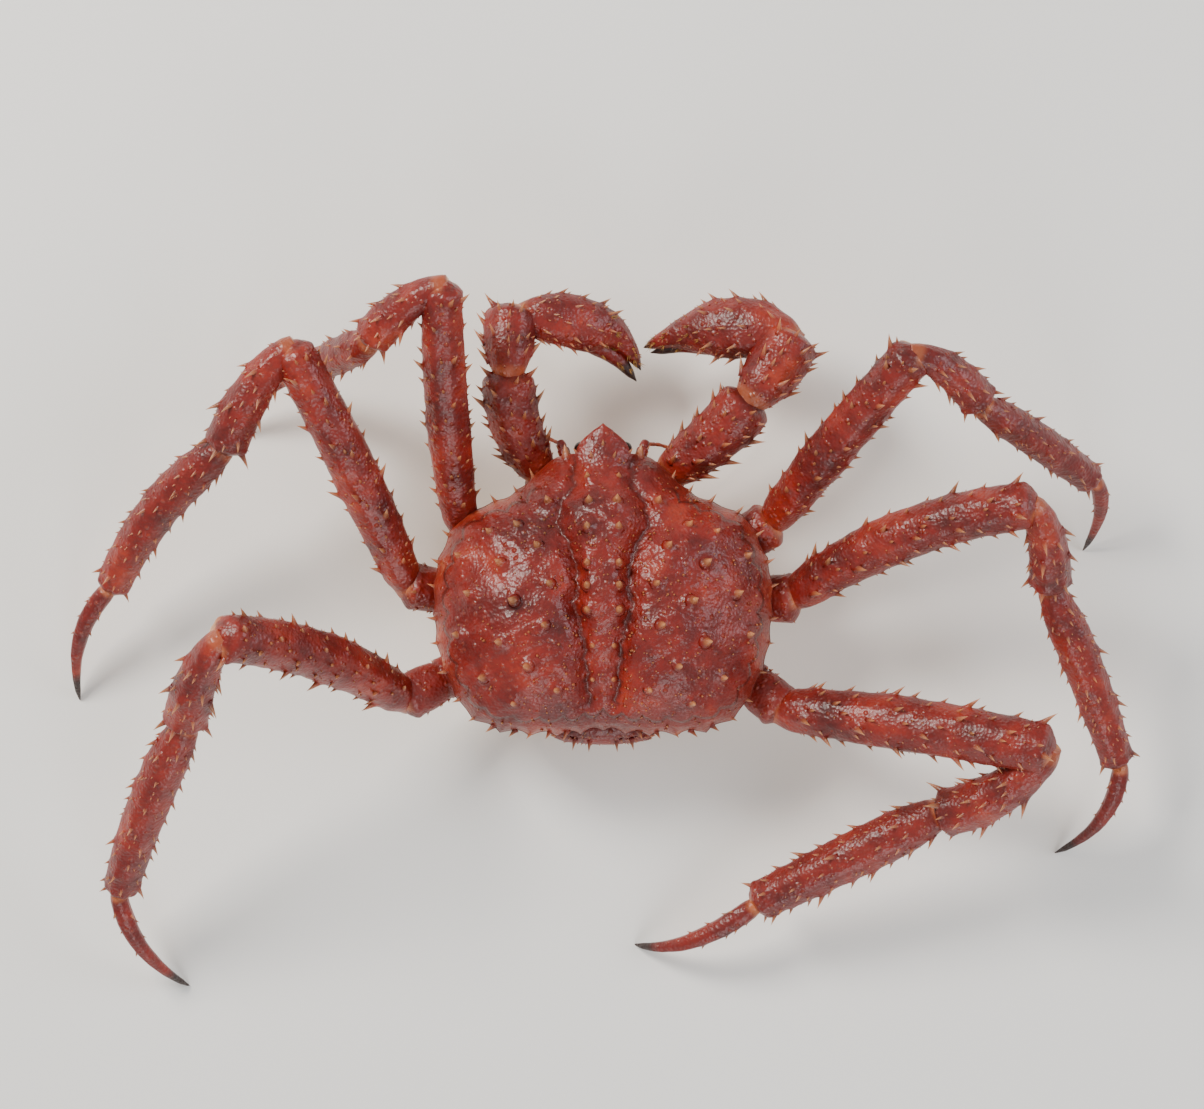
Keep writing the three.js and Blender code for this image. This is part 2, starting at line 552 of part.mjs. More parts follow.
// The part's own origin lies on the floor under the middle of its whole reach
const reach = new THREE.Box3().setFromObject(crab).getCenter(new THREE.Vector3());
crab.position.set(-reach.x, -reach.y, 0);

export default crab;
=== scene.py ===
# %% [markdown]
# # A red king crab, life size
# This lesson dresses the plain solids of a red king crab in real looking shell. The solids come from the
# frame, which holds the true sizes and the place of every plate. Each plate of shell is made again here with
# finer curves, thorns and colour, and then stands in for its plain solid. Shell is hard and never bends, so
# every plate stays a piece of its own.

# %% Load the frame
import math
import bpy
import numpy as np
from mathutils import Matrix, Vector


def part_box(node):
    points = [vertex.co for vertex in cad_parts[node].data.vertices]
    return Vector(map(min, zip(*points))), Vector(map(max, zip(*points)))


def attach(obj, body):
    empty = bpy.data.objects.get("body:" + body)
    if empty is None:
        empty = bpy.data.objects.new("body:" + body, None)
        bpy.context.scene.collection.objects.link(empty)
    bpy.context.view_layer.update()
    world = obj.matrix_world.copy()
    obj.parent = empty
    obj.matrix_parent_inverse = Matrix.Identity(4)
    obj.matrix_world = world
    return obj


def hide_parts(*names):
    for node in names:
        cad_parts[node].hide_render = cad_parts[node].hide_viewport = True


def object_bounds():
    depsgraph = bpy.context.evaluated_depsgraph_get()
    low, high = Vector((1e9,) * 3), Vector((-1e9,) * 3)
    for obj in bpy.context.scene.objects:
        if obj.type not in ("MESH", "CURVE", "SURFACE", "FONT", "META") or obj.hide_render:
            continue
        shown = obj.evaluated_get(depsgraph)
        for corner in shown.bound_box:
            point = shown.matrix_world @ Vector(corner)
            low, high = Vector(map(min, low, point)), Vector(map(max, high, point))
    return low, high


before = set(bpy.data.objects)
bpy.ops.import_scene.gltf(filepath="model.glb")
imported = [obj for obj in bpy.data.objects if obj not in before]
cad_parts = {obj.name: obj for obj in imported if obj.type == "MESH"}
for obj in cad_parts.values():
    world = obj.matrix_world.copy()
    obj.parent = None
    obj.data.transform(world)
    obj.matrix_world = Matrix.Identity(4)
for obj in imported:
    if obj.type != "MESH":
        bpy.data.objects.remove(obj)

cad_box = [list(corner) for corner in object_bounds()]
print("solids reach from", cad_box[0], "to", cad_box[1])

# %% [markdown]
# ## Where the lengths are measured from
# The crab is laid out in millimetres from the point of the floor under the middle of its carapace, because
# that is how a maker would mark it on paper. The frame is in metres from the middle of the whole reach. The
# two eyes give the way across and the beak's tip gives the way along, so one shift brings the layout home.

# %% From the layout to the frame
ROSTRUM_TIP = np.array([0, 103.5, 89.0])

eye_corners = [corner[0] for name in ("left_eye", "right_eye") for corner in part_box(name)]
SHIFT = np.array([sum(eye_corners) / 4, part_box("carapace")[1][1] - ROSTRUM_TIP[1] / 1000, 0])


def to_metres(points):
    return np.asarray(points, float) / 1000 + SHIFT


print("the layout's centre lies at", SHIFT)

# %% [markdown]
# ## The camera
# The drawing looks straight down on the crab's back with the head at the top of the sheet. A long lens from
# three metres up gives nearly the flat look of a drawing, and still lets the raised knees come a little
# closer, as they do for an eye. The lens follows from the width of the sheet: 708 mm at the carapace's edge.

# %% Camera straight above the back
SHEET_WIDTH = 0.708
SHEET_CENTRE = (-0.6, 26.75)
SENSOR_WIDTH = 36
MARGIN_Z = 72
CAMERA_HEIGHT = 3.0

camera_data = bpy.data.cameras.new("camera")
camera_data.sensor_width = SENSOR_WIDTH
camera_data.lens = SENSOR_WIDTH * (CAMERA_HEIGHT - MARGIN_Z / 1000) / SHEET_WIDTH
camera_data.clip_end = 50
camera = bpy.data.objects.new("camera", camera_data)
camera.location = to_metres([*SHEET_CENTRE, CAMERA_HEIGHT * 1000])
bpy.context.collection.objects.link(camera)
bpy.context.scene.camera = camera
print("lens", round(camera_data.lens, 1), "mm")

# %% [markdown]
# ## Colours, nodes and materials
# Hex colours are how screens mix light, and the shader wants plain amounts of light, so one function turns
# one into the other. One more function adds a node with its settings and its links in a single line, and a
# third starts a material.

# %% Three small helpers
WHITE = "#FFFFFF"
BLACK = "#000000"


def colour(code):
    parts = [int(code[i:i + 2], 16) / 255 for i in (1, 3, 5)]
    return (*[p / 12.92 if p <= 0.04045 else ((p + 0.055) / 1.055) ** 2.4 for p in parts], 1)


def add(tree, kind, settings=(), links=()):
    node = tree.nodes.new("ShaderNode" + kind)
    for key, value in dict(settings).items():
        if isinstance(key, int) or key in node.inputs:
            node.inputs[key].default_value = value
        else:
            setattr(node, key, value)
    for key, socket in dict(links).items():
        tree.links.new(socket, node.inputs[key])
    return node


def new_material(name):
    material = bpy.data.materials.new(name)
    material.use_nodes = True
    return material, material.node_tree, material.node_tree.nodes["Principled BSDF"]


print("deep red is", [round(c, 3) for c in colour("#8E2417")])

# %% [markdown]
# ## The studio
# The sheet behind the drawing is white, so the floor is a pale sweep of matt paper. Soft light boxes hang on
# both sides: a strong one to the upper left that draws the thorns with small shadows, and weaker ones that
# keep the shadows open. The floor is part of the studio and not of the crab.

# %% Floor and lights
FLOOR_REACH = 9
FLOOR_DROP = 0.0004

paper, _, paper_shader = new_material("matt_white_paper")
paper_shader.inputs["Base Color"].default_value = colour("#F6F5F2")
paper_shader.inputs["Roughness"].default_value = 0.9
paper_shader.inputs["Specular IOR Level"].default_value = 0.2

floor_mesh = bpy.data.meshes.new("floor")
floor_corners = [(-FLOOR_REACH, -FLOOR_REACH, 0), (FLOOR_REACH, -FLOOR_REACH, 0),
                 (FLOOR_REACH, FLOOR_REACH, 0), (-FLOOR_REACH, FLOOR_REACH, 0)]
floor_mesh.from_pydata(floor_corners, [], [(0, 1, 2, 3)])
floor_mesh.materials.append(paper)
floor = bpy.data.objects.new("floor", floor_mesh)
floor.location.z = -FLOOR_DROP
bpy.context.collection.objects.link(floor)

world = bpy.data.worlds.new("studio")
world.use_nodes = True
sky = world.node_tree.nodes["Background"]
sky.inputs["Color"].default_value = colour("#F3F3F1")
sky.inputs["Strength"].default_value = 0.6
bpy.context.scene.world = world


def light_box(name, place, size, power, tint):
    data = bpy.data.lights.new(name, "AREA")
    data.size = size
    data.energy = power
    data.color = colour(tint)[:3]
    box = bpy.data.objects.new(name, data)
    box.location = place
    box.rotation_euler = (-box.location).to_track_quat("-Z", "Y").to_euler()
    bpy.context.collection.objects.link(box)


light_box("key_light", (-1.3, 1.2, 1.7), 0.7, 60, "#FFF9F1")
light_box("fill_light", (1.8, 0.3, 1.3), 1.1, 19, "#F2F6FF")
light_box("rear_light", (0.2, -1.9, 1.2), 1.1, 17, WHITE)

# %% [markdown]
# ## What the crab is made of
# A crab's shell is cuticle: chitin hardened with chalk, grown in layers and not moulded or painted. Its gloss
# is soft, like a fingernail's, with an IOR near 1.55 and a roughness from 0.28 to 0.45. Small pits stand 2 mm
# apart all over it, low dots stand 5 mm apart, and the red fades in clouds some 30 mm wide. The back is dark
# red, flanks turn orange and the underside is cream with orange clouds. Thorn tips are worn pale, skin at the
# joints is bare orange, and claw tips are dark horn. Grooves, seams and folds get a darker red that is
# painted shade. Each mesh carries these masks as numbers at its points: belly, tip, skin, the painted shade
# of grooves, and horn.

# %% Cuticle, the shell's material
CLOUD = 0.030
DOT_SPACING = 0.0052
FRECKLE = 0.0042
PIT_SPACING = 0.0021
GRAIN = 0.0009
WORN_TIP = "#E2A06A"
BARE_SKIN = "#CC7446"
# darker red painted into grooves, seams and folds as shade
GROOVE_SHADE_RED = "#480F08"
DARK_HORN = "#2A120D"
RUST = "#B4603A"


def mask(tree, name):
    return add(tree, "Attribute", {"attribute_name": name}).outputs["Fac"]


def blend_in(tree, factor, base, over):
    """Lays one colour over another by a mask; a colour is a hex code or a socket."""
    node = add(tree, "Mix", {"data_type": "RGBA"}, {0: factor})
    for index, value in ((6, base), (7, over)):
        if isinstance(value, str):
            node.inputs[index].default_value = colour(value)
        else:
            tree.links.new(value, node.inputs[index])
    return node.outputs[2]


def ramp(tree, factor, stops):
    node = add(tree, "ValToRGB", links={"Fac": factor})
    elements = node.color_ramp.elements
    while len(elements) < len(stops):
        elements.new(0.5)
    for element, (position, code) in zip(elements, stops):
        element.position = position
        element.color = colour(code)
    return node.outputs["Color"]


def cuticle(name, clouds, flank, under, relief):
    material, tree, shader = new_material(name)
    place = {"Vector": add(tree, "TexCoord").outputs["Object"]}
    cloud = add(tree, "TexNoise", {"Scale": 1 / CLOUD, "Detail": 7, "Roughness": 0.62}, place).outputs["Fac"]
    speck = add(tree, "TexNoise", {"Scale": 1 / FRECKLE, "Detail": 3}, place).outputs["Fac"]
    grain = add(tree, "TexNoise", {"Scale": 1 / GRAIN, "Detail": 2}, place).outputs["Fac"]
    pits = add(tree, "TexVoronoi", {"Scale": 1 / PIT_SPACING, "Randomness": 0.9}, place).outputs["Distance"]
    dots = add(tree, "TexVoronoi", {"Scale": 1 / DOT_SPACING}, place).outputs["Distance"]

    back = add(tree, "Mix", {"data_type": "RGBA", "blend_type": "MULTIPLY", 0: 0.5},
               {6: ramp(tree, cloud, clouds), 7: ramp(tree, speck, [(0.42, WHITE), (0.62, "#C99A8C")])})
    back = blend_in(tree, ramp(tree, dots, [(0.12, "#8C8C8C"), (0.30, BLACK)]), back.outputs[2], flank)
    ragged = add(tree, "Math", {"operation": "MULTIPLY_ADD", 1: 0.9, 2: -0.45}, {0: cloud})
    uneven = add(tree, "Math", {"operation": "MULTIPLY_ADD", 1: 0.5}, {0: speck, 2: ragged.outputs[0]})
    turned = add(tree, "Math", {"operation": "ADD", "use_clamp": True},
                 {0: mask(tree, "belly"), 1: uneven.outputs[0]}).outputs[0]
    low = ramp(tree, turned, [(0.22, BLACK), (0.5, "#6A6A6A"), (0.85, WHITE)])
    lowest = ramp(tree, turned, [(0.62, BLACK), (1.0, WHITE)])
    rust = ramp(tree, dots, [(0.08, "#7A7A7A"), (0.24, BLACK)])
    tone = blend_in(tree, low, back, flank)
    tone = blend_in(tree, lowest, tone, blend_in(tree, rust, ramp(tree, cloud, under), RUST))
    worn = ramp(tree, mask(tree, "tip"), [(0.1, BLACK), (0.85, "#D0D0D0")])
    # The groove mask lays painted shade: darker red in grooves, seams and folds.
    skin, groove, horn = (mask(tree, key) for key in ("skin", "groove", "horn"))
    for factor, code in ((worn, WORN_TIP), (skin, BARE_SKIN), (groove, GROOVE_SHADE_RED), (horn, DARK_HORN)):
        tone = blend_in(tree, factor, tone, code)
    tree.links.new(tone, shader.inputs["Base Color"])

    gloss = add(tree, "MapRange", {"To Min": 0.28, "To Max": 0.45}, {"Value": speck})
    tree.links.new(gloss.outputs[0], shader.inputs["Roughness"])
    shader.inputs["IOR"].default_value = 1.55
    shader.inputs["Subsurface Weight"].default_value = 0.06
    shader.inputs["Subsurface Radius"].default_value = (0.004, 0.0015, 0.001)
    pimple = ramp(tree, dots, [(0.05, WHITE), (0.32, BLACK)])
    below = {}
    for height, strength, depth in ((grain, 0.3, 0.0003), (pits, 0.6, 0.0005), (pimple, 0.8, 0.0008)):
        settings = {"Strength": strength * relief, "Distance": depth}
        bump = add(tree, "Bump", settings, {"Height": height, **below})
        below = {"Normal": bump.outputs[0]}
    tree.links.new(bump.outputs[0], shader.inputs["Normal"])
    return material


BACK_CLOUDS = [(0.30, "#4E0F0B"), (0.44, "#6E140D"), (0.58, "#861C11"), (0.74, "#A8371E")]
BELLY_CLOUDS = [(0.30, "#E6C79A"), (0.50, "#DDB07C"), (0.66, "#C8794A")]
PALE_CLOUDS = [(0.30, "#EDD7B2"), (0.54, "#E0BB8A"), (0.70, "#D09866")]
shell = cuticle("dark_red_cuticle", BACK_CLOUDS, "#AE4A2B", BELLY_CLOUDS, 1.0)
pale_shell = cuticle("cream_cuticle", BELLY_CLOUDS, "#C98458", PALE_CLOUDS, 0.8)
print("cuticle made in two tones:", shell.name, "and", pale_shell.name)

# %% [markdown]
# ## Eye, feelers and bristles
# The eye is a dome of clear cuticle over dark pigment, cut into facets far too fine to see; they are drawn
# wider so that they just catch the light. Feelers are thin orange cuticle in rings. Bristles are pure chitin,
# golden and a little see-through, and at this distance only their colour and gloss tell.

# %% Cornea, feeler and bristle


def plain_cuticle(name, tones, spacing, roughness, depth):
    material, tree, shader = new_material(name)
    place = {"Vector": add(tree, "TexCoord").outputs["Object"]}
    patch = add(tree, "TexNoise", {"Scale": 0.3 / spacing, "Detail": 4}, place).outputs["Fac"]
    cells = add(tree, "TexVoronoi", {"Scale": 1 / spacing}, place).outputs["Distance"]
    bump = add(tree, "Bump", {"Strength": 0.4, "Distance": depth}, {"Height": cells})
    tree.links.new(ramp(tree, patch, tones), shader.inputs["Base Color"])
    tree.links.new(bump.outputs[0], shader.inputs["Normal"])
    shader.inputs["Roughness"].default_value = roughness
    shader.inputs["IOR"].default_value = 1.54
    return material


cornea = plain_cuticle("eye_cornea", [(0.35, "#0E0908"), (0.65, "#2B1A12")], 0.0004, 0.08, 0.00003)
feeler = plain_cuticle("feeler_cuticle", [(0.3, "#7E2A1A"), (0.7, "#B8562F")], 0.0012, 0.42, 0.0002)
bristle = plain_cuticle("golden_bristle", [(0.3, "#8A5A22"), (0.7, "#D0A052")], 0.001, 0.4, 0.0001)
print("small parts:", cornea.name, feeler.name, bristle.name)

# %% [markdown]
# ## From numbers to a mesh
# A plate is put together from patches: a grid of points for its skin, and many small ones for its thorns.
# Each patch brings its points, its faces and its masks. They are stacked into one mesh, so that thorns and
# plate are one object, as they are one shell on the crab. No point may pass the box that the solids reach,
# and the piece then takes its node's place.

# %% Patches become pieces
MASKS = ("belly", "tip", "skin", "groove", "horn")
made = []


def unit(v):
    return v / np.maximum(np.linalg.norm(v, axis=-1, keepdims=True), 1e-9)


def draw(seed):
    """A repeatable draw between 0 and 1."""
    wave = np.sin(np.asarray(seed, float) * 12.9898 + 4.1414) * 43758.5453
    return wave - np.floor(wave)


def grid_patch(points, **masks):
    """A tube of rings, closed at both ends by a fan and facing out; points is [ring, step round, xyz]."""
    rings, steps, _ = points.shape
    ring = np.arange(rings - 1)[:, None] * steps
    step = np.arange(steps)[None]
    after = (step + 1) % steps
    around = (ring + step, ring + after, ring + steps + after, ring + steps + step)
    quads = np.stack(around, -1).reshape(-1, 4)
    first, last = rings * steps, rings * steps + 1
    start_fan = np.stack([np.full(steps, first), after[0], step[0]], -1)
    base = (rings - 1) * steps
    end_fan = np.stack([np.full(steps, last), base + step[0], base + after[0]], -1)
    everything = np.vstack([points.reshape(-1, 3), points[0].mean(0), points[-1].mean(0)])
    faces = [quads, np.vstack([start_fan, end_fan])]
    triangles = np.vstack([quads[:, :3], quads[:, [0, 2, 3]], faces[1]])
    a, b, c = (everything[triangles[:, k]] - everything.mean(0) for k in range(3))
    if (a * np.cross(b, c)).sum() < 0:
        faces = [block[:, ::-1] for block in faces]
    values = {}
    for name in MASKS:
        value = np.broadcast_to(np.asarray(masks.get(name, 0.0), float), (rings, steps))
        values[name] = np.concatenate([value.ravel(), [value[0].mean(), value[-1].mean()]])
    return everything, faces, values


def piece(name, patches, material, node):
    points = np.clip(to_metres(np.vstack([p for p, _, _ in patches])), *cad_box)
    corners, sizes, offset = [], [], 0
    for p, faces, _ in patches:
        for block in faces:
            corners.append((block + offset).ravel())
            sizes.append(np.full(len(block), block.shape[1]))
        offset += len(p)
    corners, sizes = np.concatenate(corners), np.concatenate(sizes)
    mesh = bpy.data.meshes.new(name)
    mesh.vertices.add(len(points))
    mesh.vertices.foreach_set("co", points.ravel())
    mesh.loops.add(len(corners))
    mesh.loops.foreach_set("vertex_index", corners)
    mesh.polygons.add(len(sizes))
    mesh.polygons.foreach_set("loop_start", np.cumsum(sizes) - sizes)
    mesh.update(calc_edges=True)
    mesh.validate()
    mesh.shade_smooth()
    for key in MASKS:
        layer = mesh.attributes.new(key, "FLOAT", "POINT")
        layer.data.foreach_set("value", np.clip(np.concatenate([v[key] for _, _, v in patches]), 0, 1))
    mesh.materials.append(material)
    obj = bpy.data.objects.new(name, mesh)
    bpy.context.collection.objects.link(obj)
    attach(obj, "root")
    if node:
        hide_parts(node)
    made.append(obj)
    return obj


# %% [markdown]
# ## Curves and sections of a limb
# Each length of a leg is a tube laid along a curve. Most are one gentle bow between two joints; a claw's
# finger runs smoothly through several points. At every point along it the tube has a width and a height.
# Both come from the layout, so the shell follows its solid closely.

# %% Curves and sections
UP = np.array([0, 0, 1.0])


def bow(start, end, lift, back, past):
    start, end = np.array(start, float), np.array(end, float)
    along = unit(end - start)
    middle = (start + end) / 2 + 2 * np.array(lift, float)
    a, b = start - along * back, end + along * past
    return lambda t: (1 - t)[:, None] ** 2 * a + (2 * t * (1 - t))[:, None] * middle + t[:, None] ** 2 * b


def smooth(points):
    """A curve through all points whose knots are spaced by the root of their distances."""
    p = np.array(points, float)
    p = np.vstack([2 * p[0] - p[1], p, 2 * p[-1] - p[-2]])
    step = np.linalg.norm(np.diff(p, axis=0), axis=1) ** 0.5

    def curve(t):
        place = np.clip(t, 0, 1) * (len(points) - 1)
        i = np.minimum(place.astype(int), len(points) - 2)
        w = (place - i)[:, None]
        d0, d1, d2 = (step[i + k][:, None] for k in range(3))
        a, b, c, d = (p[i + k] for k in range(4))
        m1 = d1 * ((b - a) / d0 - (c - a) / (d0 + d1) + (c - b) / d1)
        m2 = d1 * ((c - b) / d1 - (d - b) / (d1 + d2) + (d - c) / d2)
        return b + m1 * w + (3 * (c - b) - 2 * m1 - m2) * w ** 2 + (2 * (b - c) + m1 + m2) * w ** 3

    return curve


def sections(one, t):
    t = np.atleast_1d(np.asarray(t, float))
    curve, across = one["curve"], one["across"]
    centre = curve(t)
    along = unit(curve(np.clip(t + 1e-3, 0, 1)) - curve(np.clip(t - 1e-3, 0, 1)))
    side = unit(np.cross(UP, along)) if across is None else np.broadcast_to(across, along.shape)
    up = unit(np.cross(along, side))
    rows = np.array(one["profile"], float)
    width, height = (np.interp(t, rows[:, 0], rows[:, k]) * one["girth"] for k in (1, 2))
    return centre, along, side, up, width, height


print("a bow's middle:", bow((0, 0, 0), (10, 0, 0), (0, 0, 1), 0, 0)(np.array([0.5]))[0])

# %% [markdown]
# ## The layout of legs and claws
# A leg is given by three rows: its joints from body to ground, the bow of each length, and the stoutness of
# each length. A claw has the same, and then the lines of its palm and of its movable finger. The profiles
# give width and height at shares of the length, for the kinds of plate that every limb repeats. A row of
# thorns is an angle round the limb, a count, the shares where it starts and ends, and the thorns' length. A
# swelling of the back is its middle, its reach across and along, and its height, and a thorn of the back is
# its place and its length.

# %% Joints and profiles
LEG_KINDS = ["ischium", "merus", "carpus", "propodus", "dactylus"]
CLAW_KINDS = ["ischium", "claw_merus", "claw_carpus"]
HALF_WIDTH = 100
CROWN_Z = 112
THORAX_TOP_Z = 47.6
THORAX_BELLY_Z = 24
HALF_OUTLINE = [
    [0, 88], [14, 86], [27, 84], [42, 72], [55, 62], [70, 56], [85, 48], [94, 32], [99.5, 14],
    [HALF_WIDTH, -8], [97, -32], [89, -53], [77, -70], [58, -78.5], [25, -80], [0, -77],
]
GROOVE = [[17, 84], [17, 68], [24, 56], [27, 46], [17, 27], [14, 8], [17, 0], [11, -24], [8, -60]]
GROOVE_DEPTH = 5.5
GROOVE_REACH = 6
SWELLINGS = [
    [0, 46, 22, 28, 9], [0, 4, 13, 17, 6], [0, -48, 14, 26, -4], [52, -14, 32, 40, 9], [58, 38, 20, 14, 3],
]
BACK_SPINES = [
    [9, 72, 7], [8, 58, 9], [9, 43, 9], [9, 22, 8], [9, 9, 9], [9, -5, 9], [6, -26, 6], [6, -46, 5],
    [32, 58, 8], [50, 44, 8], [66, 40, 7], [38, 32, 9], [60, 22, 9], [84, 26, 8], [31, 10, 8], [52, 0, 10],
    [78, 4, 9], [34, -14, 8], [60, -24, 10], [85, -20, 8], [44, -38, 9], [70, -45, 8], [27, -52, 7],
    [52, -60, 7],
]
MARGIN_SPINES_PER_SIDE = 11
REAR_SPINES_PER_SIDE = 6
LEGS = {
    "left_leg1": (
        [[-63, 23, 44], [-83, 42, 58], [-92, 180, 146], [-134, 150, 123], [-186, 132, 38], [-221, 98, 0]],
        [[0, 0, 0], [-3, 0, 5], [-3, 3, 3], [0, 0, 0], [-5, 4, 5]],
        [0.9, 0.93, 0.9, 0.86, 0.88],
    ),
    "left_leg2": (
        [[-79, 2, 42], [-116, 9, 58], [-180, 145, 130], [-219, 88, 109], [-291, 6, 46], [-315, -61, 0]],
        [[0, 0, 2], [2.5, 0, 6], [-4, 3, 4], [-6, 5.5, 3], [-9, 4, 6]],
        [1, 1, 1, 1, 1],
    ),
    "left_leg3": (
        [[-74, -36, 42], [-118, -59, 58], [-216, -22, 176], [-240, -71, 128], [-286, -173, 50],
         [-249, -233, 0]],
        [[0, 0, 2], [2, 9, 3], [-4, 2, 3], [-3, 1, 3], [-7.5, -4.5, 6]],
        [1, 1.08, 1, 1.02, 1],
    ),
    "right_leg1": (
        [[65, 23, 44], [100, 46, 58], [178, 141, 146], [218, 113, 120], [290, 70, 52], [289, 29, 0]],
        [[0, 0, 2], [-1, 1, 5], [3, 4, 3], [1, 1, 3], [7, 3, 4]],
        [1.02, 1, 0.86, 0.86, 0.88],
    ),
    "right_leg2": (
        [[80, 0, 42], [114, 1, 58], [247, 54, 130], [260, 8, 92], [306, -98, 42], [272, -153, 0]],
        [[0, 0, 2], [-5, 10.5, 4], [4, 2, 3], [2, 0, 3], [9, -5, 6]],
        [1.05, 1.08, 0.95, 0.95, 0.95],
    ),
    "right_leg3": (
        [[74, -36, 42], [106, -65, 58], [257, -87, 112], [198, -125, 72], [91, -180, 38], [19, -208, 0]],
        [[0, 0, 2], [0, 3, 4], [4, -6, 0], [0, 0, 2], [-2, -10, 6]],
        [1, 1.18, 1.1, 1.14, 1.08],
    ),
}
CHELIPEDS = {
    "left": (
        [[-26, 56, 46], [-36, 76, 54], [-55, 133, 76], [-53, 171, 70]],
        [[0, 0, 1], [-5.5, -2, 1], [-1, 0, 1]],
        [0.9, 1, 1.04, 0.94, 0.94],
        [[-54, 166, 70], [-30, 166, 67], [-8, 161.5, 60], [5, 157.5, 54], [15.5, 148, 49], [22.5, 136, 45]],
        [[-19, 155, 60], [-4, 149.5, 55], [9, 142, 49], [20, 129.5, 44]],
    ),
    "right": (
        [[26, 56, 46], [38, 76, 54], [86, 118, 76], [111, 155, 71]],
        [[0, 0, 1], [2.5, -2, 1], [2, 0, 1]],
        [0.9, 1.06, 1.2, 1.08, 1],
        [[116, 149, 70], [94, 158, 68], [71, 160.5, 61], [53, 158.5, 55], [39, 155, 50], [24, 149.5, 45]],
        [[83, 148, 59], [66, 150, 53], [48, 151, 48], [28, 146.5, 43]],
    ),
}
FACE = {
    "eyestalk": [[8, 77, 64], [11, 83, 66], [12.5, 88.5, 66.5]],
    "antennule": [[4.5, 79, 58], [5, 90, 56], [5.5, 96.5, 61]],
    "antenna": [[20, 77, 59], [23, 87, 57.5], [25.5, 94, 54]],
    "maxilliped": [[8, 57, 36], [10, 72, 40], [10.5, 83, 40], [9, 87.5, 33], [7, 83, 26]],
}
FLAGELLA = {
    "left": [
        [-24.5, 92, 55.5], [-31, 95, 48], [-42, 102, 41], [-52, 122, 36], [-57, 141, 33], [-57, 160, 31],
    ],
    "right": [[24.5, 92, 55.5], [32, 92, 48], [46, 90, 40], [66, 104, 36], [88, 127, 33], [104, 146, 32]],
}
EYE_CENTRE = [13.2, 89.6, 66.6]
EYE_RADIUS = 3.9
PROFILES = {
    "ischium": [[0, 13, 13], [0.15, 20, 19], [0.45, 26, 23], [0.8, 28, 25], [1, 22, 20]],
    "merus": [[0, 14, 14], [0.08, 22, 21], [0.4, 27, 27], [0.75, 26, 27], [0.955, 25, 25], [1, 13, 13]],
    "carpus": [[0, 9, 9], [0.07, 16, 16], [0.25, 20, 21], [0.65, 25, 25], [0.92, 25, 24], [1, 14, 14]],
    "propodus": [
        [0, 9, 9], [0.05, 17, 16], [0.22, 24, 21.5], [0.55, 23.5, 21.5], [0.94, 20, 18.5], [1, 12, 11],
    ],
    "dactylus": [[0, 6, 7], [0.07, 11, 12], [0.3, 11, 12.5], [0.6, 8, 9.5], [0.85, 4.6, 5.6], [1, 2.4, 3]],
    "claw_merus": [[0, 12, 12], [0.08, 22, 20], [0.4, 28, 24], [0.88, 31, 26], [1, 19, 16]],
    "claw_carpus": [[0, 13, 13], [0.15, 21, 21], [0.5, 29, 26], [0.88, 28, 25], [1, 17, 15]],
    "palm": [
        [0, 13, 12], [0.08, 24, 20], [0.25, 33, 25], [0.45, 32, 24], [0.6, 21, 18], [0.8, 11, 11],
        [1, 1.6, 2],
    ],
    "movable_finger": [[0, 5, 8], [0.2, 11, 13], [0.5, 11, 11], [0.8, 8, 8], [1, 1.6, 1.8]],
    "rostrum": [
        [0, 12, 8], [0.2, 20, 11], [0.4, 31, 12.5], [0.55, 37, 12], [0.66, 31, 10.5], [0.84, 14.5, 7],
        [0.94, 6, 4], [1, 1.2, 1.2],
    ],
    "eyestalk": [[0, 5, 5], [0.5, 5.6, 5.6], [1, 4.6, 4.6]],
    "antennule": [[0, 2.6, 2.6], [0.5, 2.6, 2.6], [1, 1, 1]],
    "antenna": [[0, 5, 5], [0.35, 7.5, 7], [0.7, 6.5, 6], [1, 4, 4]],
    "flagellum": [
        [0, 2.6, 2.6], [0.15, 2.5, 2.5], [0.35, 2.3, 2.3], [0.55, 2, 2], [0.8, 1.6, 1.6], [1, 1, 1],
    ],
    "maxilliped": [[0, 5, 6], [0.2, 8, 8], [0.5, 9, 7.5], [0.8, 7.5, 5.5], [1, 4, 3]],
    "abdomen": [
        [0, 34, 8], [0.08, 40, 9], [0.16, 48, 9.5], [0.24, 54, 9.5], [0.34, 60, 9.5], [0.45, 63, 9.5],
        [0.6, 58, 9], [0.75, 46, 8.5], [0.87, 33, 7.5], [0.95, 21, 6], [1, 10, 4],
    ],
}
SPINE_ROWS = {
    "ischium": [[100, 1, 0.85, 0.85, 5]],
    "merus": [
        [20, 4, 0.2, 0.9, 6.5], [70, 5, 0.14, 0.95, 7], [115, 4, 0.24, 0.86, 6], [165, 4, 0.16, 0.94, 6.5],
    ],
    "carpus": [
        [15, 3, 0.36, 0.9, 6.5], [70, 3, 0.34, 0.92, 6], [120, 2, 0.45, 0.8, 5], [165, 3, 0.38, 0.94, 7],
    ],
    "propodus": [
        [15, 4, 0.16, 0.94, 5], [70, 3, 0.22, 0.86, 4.5], [120, 2, 0.2, 0.7, 4], [168, 4, 0.12, 0.94, 5.5],
    ],
    "dactylus": [[40, 1, 0.16, 0.16, 2.8], [140, 1, 0.2, 0.2, 2.8]],
    "claw_merus": [
        [10, 4, 0.25, 0.95, 7], [65, 3, 0.3, 0.88, 6], [115, 3, 0.22, 0.8, 6], [170, 4, 0.3, 0.97, 7],
    ],
    "claw_carpus": [
        [10, 3, 0.35, 0.9, 6], [65, 2, 0.4, 0.8, 5], [120, 2, 0.5, 0.85, 5], [170, 4, 0.25, 0.92, 7],
    ],
    "palm": [
        [10, 4, 0.12, 0.44, 5], [55, 3, 0.16, 0.46, 4.5], [125, 3, 0.12, 0.46, 4.5], [170, 5, 0.1, 0.56, 5],
    ],
}
SPINE_LEAN = 0.75
CLAW_BACK_STEP = 4
